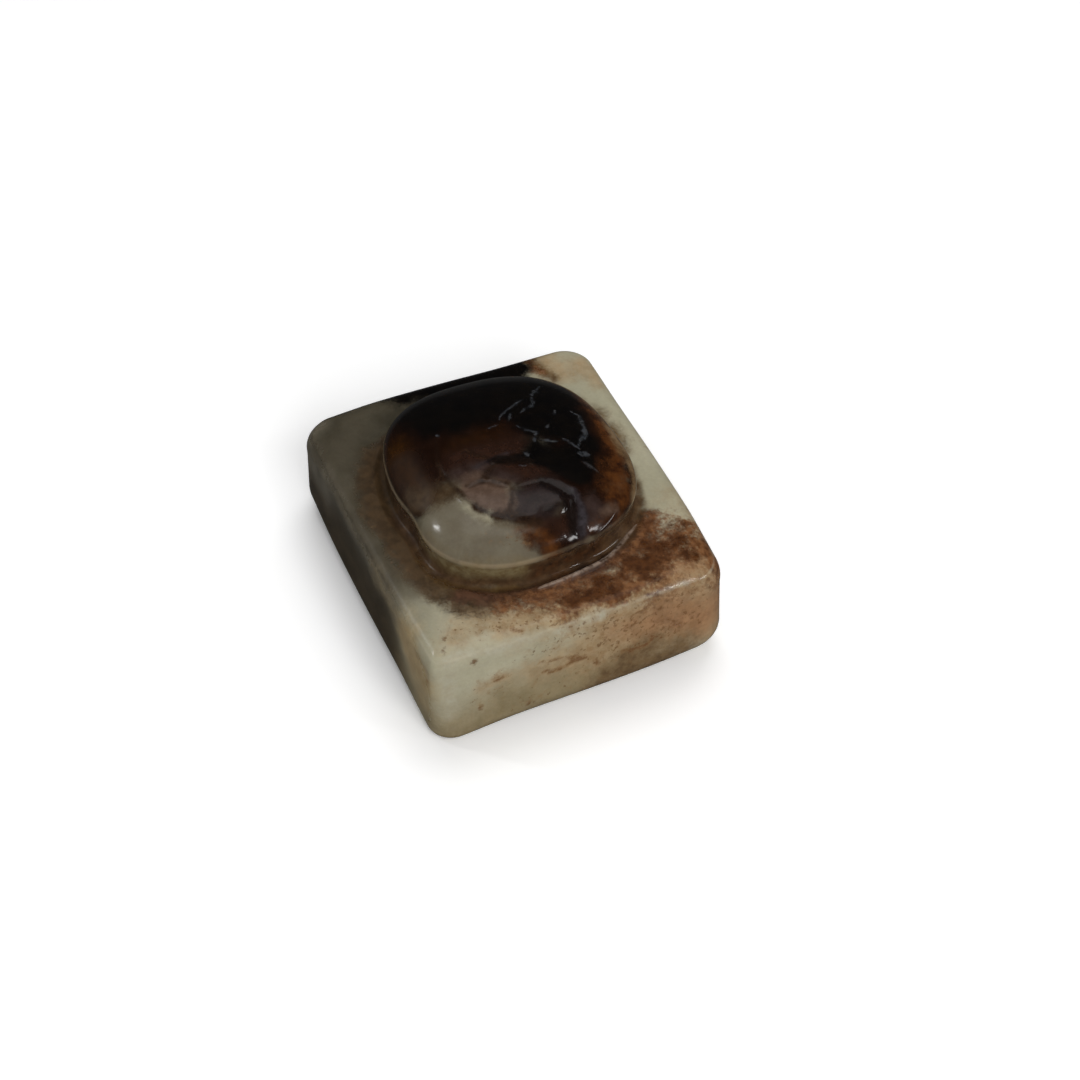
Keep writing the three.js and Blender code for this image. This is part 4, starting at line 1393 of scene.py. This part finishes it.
# zone: its two colours, size of their mottling, softness of its edge, grain, fraying and threads
zone_looks = {
    "shade": (srgb(65, 60, 48), srgb(76, 70, 57), 5.0, 0.95, 2.5, 0.25, 0),
    "umber": (srgb(62, 51, 33), srgb(74, 62, 43), 4.0, 0.95, 2.5, 0.25, 0),
    "haze": (srgb(112, 105, 90), srgb(100, 93, 79), 3.0, 0.9, 2.0, 0.3, 0),
    "olive": (srgb(138, 122, 90), srgb(124, 108, 77), 3.0, 1.0, 2.0, 0.3, 0),
    "beige": (srgb(166, 144, 111), srgb(146, 123, 91), 1.8, 0.9, 1.4, 0.8, 0),
    "buff": (srgb(176, 156, 118), srgb(160, 138, 100), 2.0, 0.8, 1.6, 0.5, 0),
    "tan": (srgb(158, 120, 86), srgb(138, 104, 74), 1.6, 0.9, 1.4, 0.6, 0),
    "bloom": (srgb(172, 167, 148), srgb(164, 156, 134), 1.0, 0.8, 0.8, 0.5, 0),
    "earth": (srgb(96, 76, 52), srgb(116, 94, 66), 1.2, 1.0, 1.3, 1.0, 0),
    "stain": (srgb(108, 84, 54), srgb(80, 58, 36), 1.6, 1.0, 1.6, 0.9, 0.1),
    "channel": (srgb(86, 66, 44), srgb(64, 47, 31), 1.2, 0.8, 1.2, 0.6, 0),
    "mustard": (srgb(110, 86, 48), srgb(88, 65, 35), 1.0, 0.9, 1.0, 0.5, 0),
    "brown": (srgb(55, 41, 25), srgb(76, 58, 37), 1.2, 0.9, 1.4, 1.1, 0.15),
    "plum": (srgb(92, 63, 46), srgb(64, 41, 28), 0.9, 0.9, 1.2, 1.2, 0.15),
    "russet": (srgb(124, 84, 51), srgb(82, 48, 23), 1.0, 0.9, 1.8, 2.1, 0.15),
    "clots": (srgb(60, 32, 12), srgb(84, 49, 22), 0.8, 0.7, 1.0, 1.6, 0),
    "amber": (srgb(30, 15, 8), srgb(22, 9, 4), 2.0, 0.8, 1.5, 0.5, 0),
    "glow": (srgb(52, 29, 6), srgb(38, 19, 3), 1.5, 0.9, 1.4, 0.5, 0),
    "smoke": (srgb(72, 56, 38), srgb(56, 40, 24), 1.2, 1.0, 1.2, 0.8, 0),
    "tea": (srgb(48, 29, 20), srgb(38, 22, 15), 1.4, 0.9, 1.2, 0.5, 0),
    "lilac": (srgb(58, 45, 41), srgb(48, 35, 30), 1.2, 0.8, 1.0, 0.5, 0),
    "dusk": (srgb(44, 33, 31), srgb(34, 25, 23), 1.2, 0.9, 1.0, 0.5, 0),
    "rosy": (srgb(92, 74, 62), srgb(80, 62, 50), 1.0, 0.7, 0.9, 0.5, 0),
    "pale_skirt": (srgb(110, 103, 87), srgb(102, 94, 79), 3.0, 0.9, 1.4, 0.7, 0),
    "straw": (srgb(116, 102, 76), srgb(102, 86, 60), 1.0, 0.9, 0.8, 0.5, 0),
    "fringe": (srgb(86, 49, 20), srgb(50, 25, 10), 1.8, 1.0, 1.6, 1.3, 0),
    "slate": (srgb(58, 53, 56), srgb(40, 35, 37), 0.8, 0.9, 0.8, 0.5, 0),
    "rim_beige": (srgb(128, 105, 76), srgb(104, 80, 51), 1.4, 0.9, 1.2, 1.0, 0),
    "wall": (srgb(90, 67, 45), srgb(66, 47, 31), 1.6, 0.8, 1.0, 0.5, 0),
    "wall_top": (srgb(132, 118, 86), srgb(108, 90, 60), 1.2, 1.0, 1.0, 0.5, 0),
    "wall_rust": (srgb(76, 46, 26), srgb(44, 28, 19), 1.0, 1.0, 1.0, 1.0, 0),
    "seam": (srgb(50, 34, 22), srgb(34, 22, 14), 1.0, 0.9, 0.5, 0.9, 0),
    "ink": (srgb(15, 11, 11), srgb(22, 16, 15), 1.0, 1.0, 1.0, 0.3, 0),
    "black": (srgb(6, 5, 5), srgb(11, 8, 6), 1.5, 0.7, 1.3, 0.8, 0),
}
print("layers of colour:", len(zone_looks))

# %% Layers of colour
jade.use_nodes = True
tree = jade.node_tree
shader = tree.nodes["Principled BSDF"]
place = add(tree, "ShaderNodeTexCoord").outputs["Object"]


def grain(size, detail=4.0, shift=0.0, rough=0.55):
    """Noise with lumps of a given size in millimetres"""
    inputs = {"Vector": place, "W": shift, "Scale": 1 / (size * MM), "Detail": detail, "Roughness": rough}
    return add(tree, "ShaderNodeTexNoise", inputs, noise_dimensions="4D").outputs[0]


def blend(factor, first, second):
    """Mixes two colours"""
    return add(tree, "ShaderNodeMix", {0: factor, 6: first, 7: second}, data_type="RGBA").outputs[2]


def painted(title):
    """A value that the mesh carries"""
    return add(tree, "ShaderNodeAttribute", attribute_name=title).outputs["Fac"]


def frayed(weight, softness, size, fraying, threads, shift):
    """A zone's weight with a soft edge that noise frays and that puts out thin threads"""
    lumps = grain(size, 6.0, shift, 0.6)
    crumbs = calc(tree, "MULTIPLY_ADD", grain(size / 4, 5.0, shift + 90, 0.7), 0.5, lumps)
    wander = calc(tree, "MULTIPLY", calc(tree, "SUBTRACT", crumbs, 0.75), fraying)
    fading = ramp(tree, weight, 0.0, 0.35)
    weight = calc(tree, "MULTIPLY_ADD", wander, fading, weight)
    if threads:
        level = calc(tree, "SUBTRACT", grain(size, 3.0, shift + 50, 0.5), 0.5)
        thread = ramp(tree, calc(tree, "ABSOLUTE", level), 0.0, 0.06, threads, 0.0)
        weight = calc(tree, "MULTIPLY_ADD", thread, ramp(tree, weight, 0.05, 0.3), weight)
    return ramp(tree, weight, 0.5 - softness / 2, 0.5 + softness / 2)


colour = blend(ramp(tree, grain(6.0, 3.0, 1.0), 0.35, 0.65), clear_jade, cloudy_jade)
layers = {}
for number, (title, look) in enumerate(zone_looks.items()):
    first, second, mottle, softness, size, fraying, threads = look
    layers[title] = frayed(painted(title), softness, size, fraying, threads, 3.0 + number)
    mottled = blend(ramp(tree, grain(mottle, 6.0, 30.0 + number, 0.6), 0.36, 0.64), first, second)
    colour = blend(layers[title], colour, mottled)

# %% [markdown]
# ## Veins, specks and cracks
#
# Iron also fills hairline flaws and leaves specks and spots. Noise eats into each of them, so
# that a vein comes and goes and a spot is ragged. The healed cracks in the black skin, the
# darker furrows, and the painted highlights along the knob's rim, the channel's lip and the top
# edge, with painted shade on the edge's dark side, take their places from what the graver left on the mesh.

# %% Veins, specks and spots
def eaten(value, size, bite, low, high, shift):
    """A mark that noise has eaten into"""
    noise_value = calc(tree, "MULTIPLY", calc(tree, "SUBTRACT", grain(size, 5.0, shift, 0.6), 0.5), bite)
    return ramp(tree, calc(tree, "ADD", value, noise_value), low, high)


crumbling = calc(tree, "MULTIPLY_ADD", grain(0.45, 5.0, 66.0, 0.65), 0.32, 0.84)
crumbled = add(tree, "ShaderNodeVectorMath", {0: colour, "Scale": crumbling}, operation="SCALE").outputs[0]
colour = blend(1.0, colour, crumbled)
halo = eaten(painted("veins"), 0.9, 1.1, 0.10, 0.75, 61.0)
crowded = ramp(tree, painted("specked"), 0.0, 1.0, 0.74, 0.50)
clouds = ramp(tree, calc(tree, "SUBTRACT", grain(1.5, 6.0, 72.0, 0.65), crowded), -0.03, 0.12)
stained = calc(tree, "MAXIMUM", calc(tree, "MULTIPLY", halo, 0.55), calc(tree, "MULTIPLY", clouds, 0.4))
hidden = calc(tree, "SUBTRACT", layers["amber"], layers["pale_skirt"])
for title in ("brown", "plum", "channel", "russet"):
    hidden = calc(tree, "MAXIMUM", hidden, layers[title])
open_stone = calc(tree, "SUBTRACT", 1.0, hidden)
colour = blend(calc(tree, "MULTIPLY", stained, open_stone), colour, srgb(136, 103, 69))
veins = calc(tree, "MULTIPLY", eaten(painted("veins"), 0.5, 1.7, 0.35, 0.95, 65.0), 0.8)
specks = ramp(tree, calc(tree, "SUBTRACT", grain(0.6, 4.0, 67.0, 0.65), crowded), 0.03, 0.12)
specks = calc(tree, "MULTIPLY", specks, 0.75)
spots = eaten(painted("spots"), 0.45, 1.7, 0.30, 1.0, 62.0)
iron = calc(tree, "MAXIMUM", calc(tree, "MAXIMUM", veins, specks), spots)
iron = calc(tree, "MULTIPLY", calc(tree, "MULTIPLY", iron, 0.8), open_stone)
colour = blend(iron, colour, srgb(94, 61, 34))

# %% Cracks, darker furrows, and painted highlights and shade on the edges
crack = calc(tree, "MULTIPLY", eaten(painted("crack"), 0.6, 2.4, 0.35, 1.15, 60.0), 0.9)
ash = blend(ramp(tree, grain(0.9, 4.0, 68.0), 0.4, 0.6), srgb(62, 64, 67), srgb(38, 40, 43))
colour = blend(crack, colour, ash)
# the furrows are darker along their traces
furrow_darkening = calc(tree, "MULTIPLY", ramp(tree, painted("furrow"), 0.15, 0.95), 0.35)
colour = blend(furrow_darkening, colour, srgb(30, 19, 13))
# painted highlight: a light line along the knob's rim, as strong as edge_light says
patchy = ramp(tree, grain(1.0, 4.0, 63.0), 0.1, 0.55)
rim_highlight = calc(tree, "MULTIPLY", ramp(tree, painted("rim"), 0.05, 0.7), patchy)
colour = blend(calc(tree, "MULTIPLY", rim_highlight, painted("edge_light")), colour, srgb(156, 138, 110))
# painted highlight along the channel's lip
patchy = ramp(tree, grain(0.8, 4.0, 64.0), 0.3, 0.6)
lip_highlight = calc(tree, "MULTIPLY", ramp(tree, painted("lip"), 0.2, 1.0), patchy)
colour = blend(calc(tree, "MULTIPLY", lip_highlight, 0.8), colour, srgb(166, 146, 130))
# painted highlight and shade on the crisp line of the top edge: light along the front, dark where the shade
# zone lies
broken = ramp(tree, grain(1.5, 4.0, 69.0), 0.35, 0.65, 0.05, 0.4)
crisp = calc(tree, "MULTIPLY", ramp(tree, painted("crease"), 0.1, 0.9), broken)
crease_light_and_shade = blend(layers["shade"], srgb(186, 178, 156), srgb(46, 42, 36))
colour = blend(crisp, colour, crease_light_and_shade)
tree.links.new(colour, shader.inputs["Base Color"])

# %% Polish and translucency
shader.inputs["IOR"].default_value = 1.5
shader.inputs["Subsurface Weight"].default_value = 0.2
shader.inputs["Subsurface Radius"].default_value = (1.0, 0.8, 0.55)
shader.inputs["Subsurface Scale"].default_value = 1.2 * MM
stained = calc(tree, "MAXIMUM", layers["russet"], layers["brown"])
dulled = calc(tree, "MULTIPLY", painted("dull"), 0.5)
roughness = calc(tree, "ADD", ramp(tree, stained, 0.0, 1.0, 0.11, 0.26), dulled)
roughness = calc(tree, "MULTIPLY_ADD", grain(1.2, 4.0, 71.0), 0.08, roughness)
tree.links.new(roughness, shader.inputs["Roughness"])
bump = add(tree, "ShaderNodeBump", {"Height": grain(0.9, 1.0, 70.0), "Strength": 0.04, "Distance": 0.05 * MM})
tree.links.new(bump.outputs[0], shader.inputs["Normal"])

# %% [markdown]
# ## The vermilion's material
#
# Fresh paste is a warm, even red. Dried in the lines it turns patchy: dark and brownish where
# the oil has gathered, pale and chalky where it has worn, with a few crumbs of grit.

# %% Vermilion
vermilion.use_nodes = True
tree = vermilion.node_tree
paste_shader = tree.nodes["Principled BSDF"]
place = add(tree, "ShaderNodeTexCoord").outputs["Object"]
patches = ramp(tree, grain(2.2, 4.0, 80.0), 0.38, 0.62)
colour = blend(patches, srgb(168, 44, 27), srgb(128, 30, 21))
chalk = ramp(tree, grain(0.8, 6.0, 81.0, 0.65), 0.55, 0.72)
colour = blend(calc(tree, "MULTIPLY", chalk, 0.6), colour, srgb(196, 92, 66))
grit = ramp(tree, grain(0.25, 3.0, 82.0), 0.66, 0.74)
colour = blend(calc(tree, "MULTIPLY", grit, 0.7), colour, srgb(70, 22, 16))
tree.links.new(colour, paste_shader.inputs["Base Color"])
tree.links.new(ramp(tree, patches, 0.0, 1.0, 0.85, 0.55), paste_shader.inputs["Roughness"])
bump = add(tree, "ShaderNodeBump", {"Height": grain(0.3, 5.0, 83.0), "Strength": 0.4, "Distance": 0.08 * MM})
tree.links.new(bump.outputs[0], paste_shader.inputs["Normal"])
print("nodes in the vermilion's material:", len(tree.nodes))

# %% [markdown]
# ## Tie the pieces to the model
#
# Each finished piece stands for one node of the model and rides on the model's one body.

# %% Ride and replace
all_strokes = (furrow_strokes, ridge_strokes, crack_strokes, lip_stroke, rim_stroke, crease_stroke)
for helper in (*all_strokes, fret_paths):
    bpy.data.objects.remove(helper)
for piece, node, finish in ((stone, "seal_stone", "jade"), (paste, "seal_paste", "vermilion_paste")):
    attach(piece, "root")
    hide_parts(node)
    print(piece.name, "stands for", node)

# %% [markdown]
# ## A white table
#
# The table is white where the camera sees it and keeps the stone's soft shadow. To the stone it
# is an ordinary pale surface that throws light back on the sides. In the stone's polish it stays
# dark, as it does round an object that is photographed on a small sheet.

# %% Floor
FLOOR_HALF = 3000.0
FLOOR_DROP = 0.02
floor_corners = [(-1, -1), (1, -1), (1, 1), (-1, 1)]
floor_points = [(x * FLOOR_HALF, y * FLOOR_HALF, -FLOOR_DROP) for x, y in floor_corners]
floor = mesh_object("white_table", floor_points, [(0, 1, 2, 3)])
white = bpy.data.materials.new("white_table")
white.use_nodes = True
tree = white.node_tree
tree.nodes.clear()
floor_rays = add(tree, "ShaderNodeLightPath").outputs


def plain(level):
    """A matt surface of one grey level"""
    return add(tree, "ShaderNodeBsdfDiffuse", {"Color": (level, level, level, 1)}).outputs[0]


def either(ray, if_not, if_so):
    """One shader for a kind of ray and another for the rest"""
    return add(tree, "ShaderNodeMixShader", {0: ray, 1: if_not, 2: if_so}).outputs[0]


lit = either(floor_rays["Is Glossy Ray"], plain(0.75), plain(0.06))
seen = add(tree, "ShaderNodeAddShader", {0: plain(0.6), 1: plain(0.6)}).outputs[0]
sheet = either(floor_rays["Is Camera Ray"], lit, seen)
add(tree, "ShaderNodeOutputMaterial", {"Surface": sheet})
floor.data.materials.append(white)

# %% [markdown]
# ## Soft light
#
# A dark polished stone shows every lamp, so the light comes in two kinds, as with a
# photographer's polarised lamps. Two large soft lamps light the stone but stay out of its polish:
# one high behind it at the right, which lays its shadow to the front and left, and one in front.
# Small windows give the few sharp glints, and a dim panel overhead the faint sheen on the dome.

# %% World
world = bpy.data.worlds.new("studio")
bpy.context.scene.world = world
world.use_nodes = True
tree = world.node_tree
tree.nodes.clear()
world_rays = add(tree, "ShaderNodeLightPath").outputs


def sky(strength):
    """A white surround of one strength"""
    return add(tree, "ShaderNodeBackground", {"Color": (1, 1, 1, 1), "Strength": strength}).outputs[0]


inner = either(world_rays["Is Glossy Ray"], sky(0.25), sky(0.02))
outer = either(world_rays["Is Camera Ray"], inner, sky(1.0))
add(tree, "ShaderNodeOutputWorld", {"Surface": outer})


# %% Lamps
def direction_to(azimuth, elevation):
    """A direction seen from the stone. Azimuth 0 is the front and 90 the right"""
    turn = math.radians(azimuth)
    rise = math.radians(elevation)
    return Vector((math.sin(turn) * math.cos(rise), -math.cos(turn) * math.cos(rise), math.sin(rise)))


def softbox(name, azimuth, elevation, away, width, length, share, in_polish=True, as_light=True):
    """A lamp that gives the table a share of full light"""
    towards = direction_to(azimuth, elevation)
    lamp = bpy.data.lights.new(name, "AREA")
    lamp.shape = "RECTANGLE"
    lamp.size = width * MM
    lamp.size_y = length * MM
    lamp.energy = share * math.pi**2 * (away * MM) ** 2 / towards.z
    made = bpy.data.objects.new(name, lamp)
    made.location = (towards * away + Vector((0, 0, tablet_height))) * MM
    made.rotation_euler = towards.to_track_quat("Z", "Y").to_euler()
    made.visible_glossy = in_polish
    made.visible_diffuse = as_light
    bpy.context.scene.collection.objects.link(made)
    print(name, "gives", share, "of the light")


softbox("back_light", 150, 60, 500, 380, 380, 0.35, in_polish=False)
softbox("front_light", -5, 40, 500, 300, 300, 0.39, in_polish=False)
softbox("front_window", 40, 41.5, 420, 30, 30, 0.022)
softbox("back_window", -127, 42, 500, 26, 80, 0.045)
softbox("side_window", 52, 27, 450, 180, 60, 0.07, as_light=False)
softbox("high_panel", 150, 76, 500, 330, 240, 0.045, as_light=False)

# %% Camera
camera_data = bpy.data.cameras.new("camera")
camera_data.sensor_width = 36.0
camera_data.lens = 83.33
camera_data.clip_start = 0.01
camera_data.clip_end = 20.0
camera = bpy.data.objects.new("camera", camera_data)
bpy.context.scene.collection.objects.link(camera)
bpy.context.scene.camera = camera
camera_distance = 331.1
aimed_at = Vector((5.73, 3.4, 0.0))
towards_camera = direction_to(-23.67, 46.6)
camera.location = (aimed_at + towards_camera * camera_distance) * MM
camera.rotation_euler = towards_camera.to_track_quat("Z", "Y").to_euler()

scene = bpy.context.scene
scene.view_settings.view_transform = "Standard"
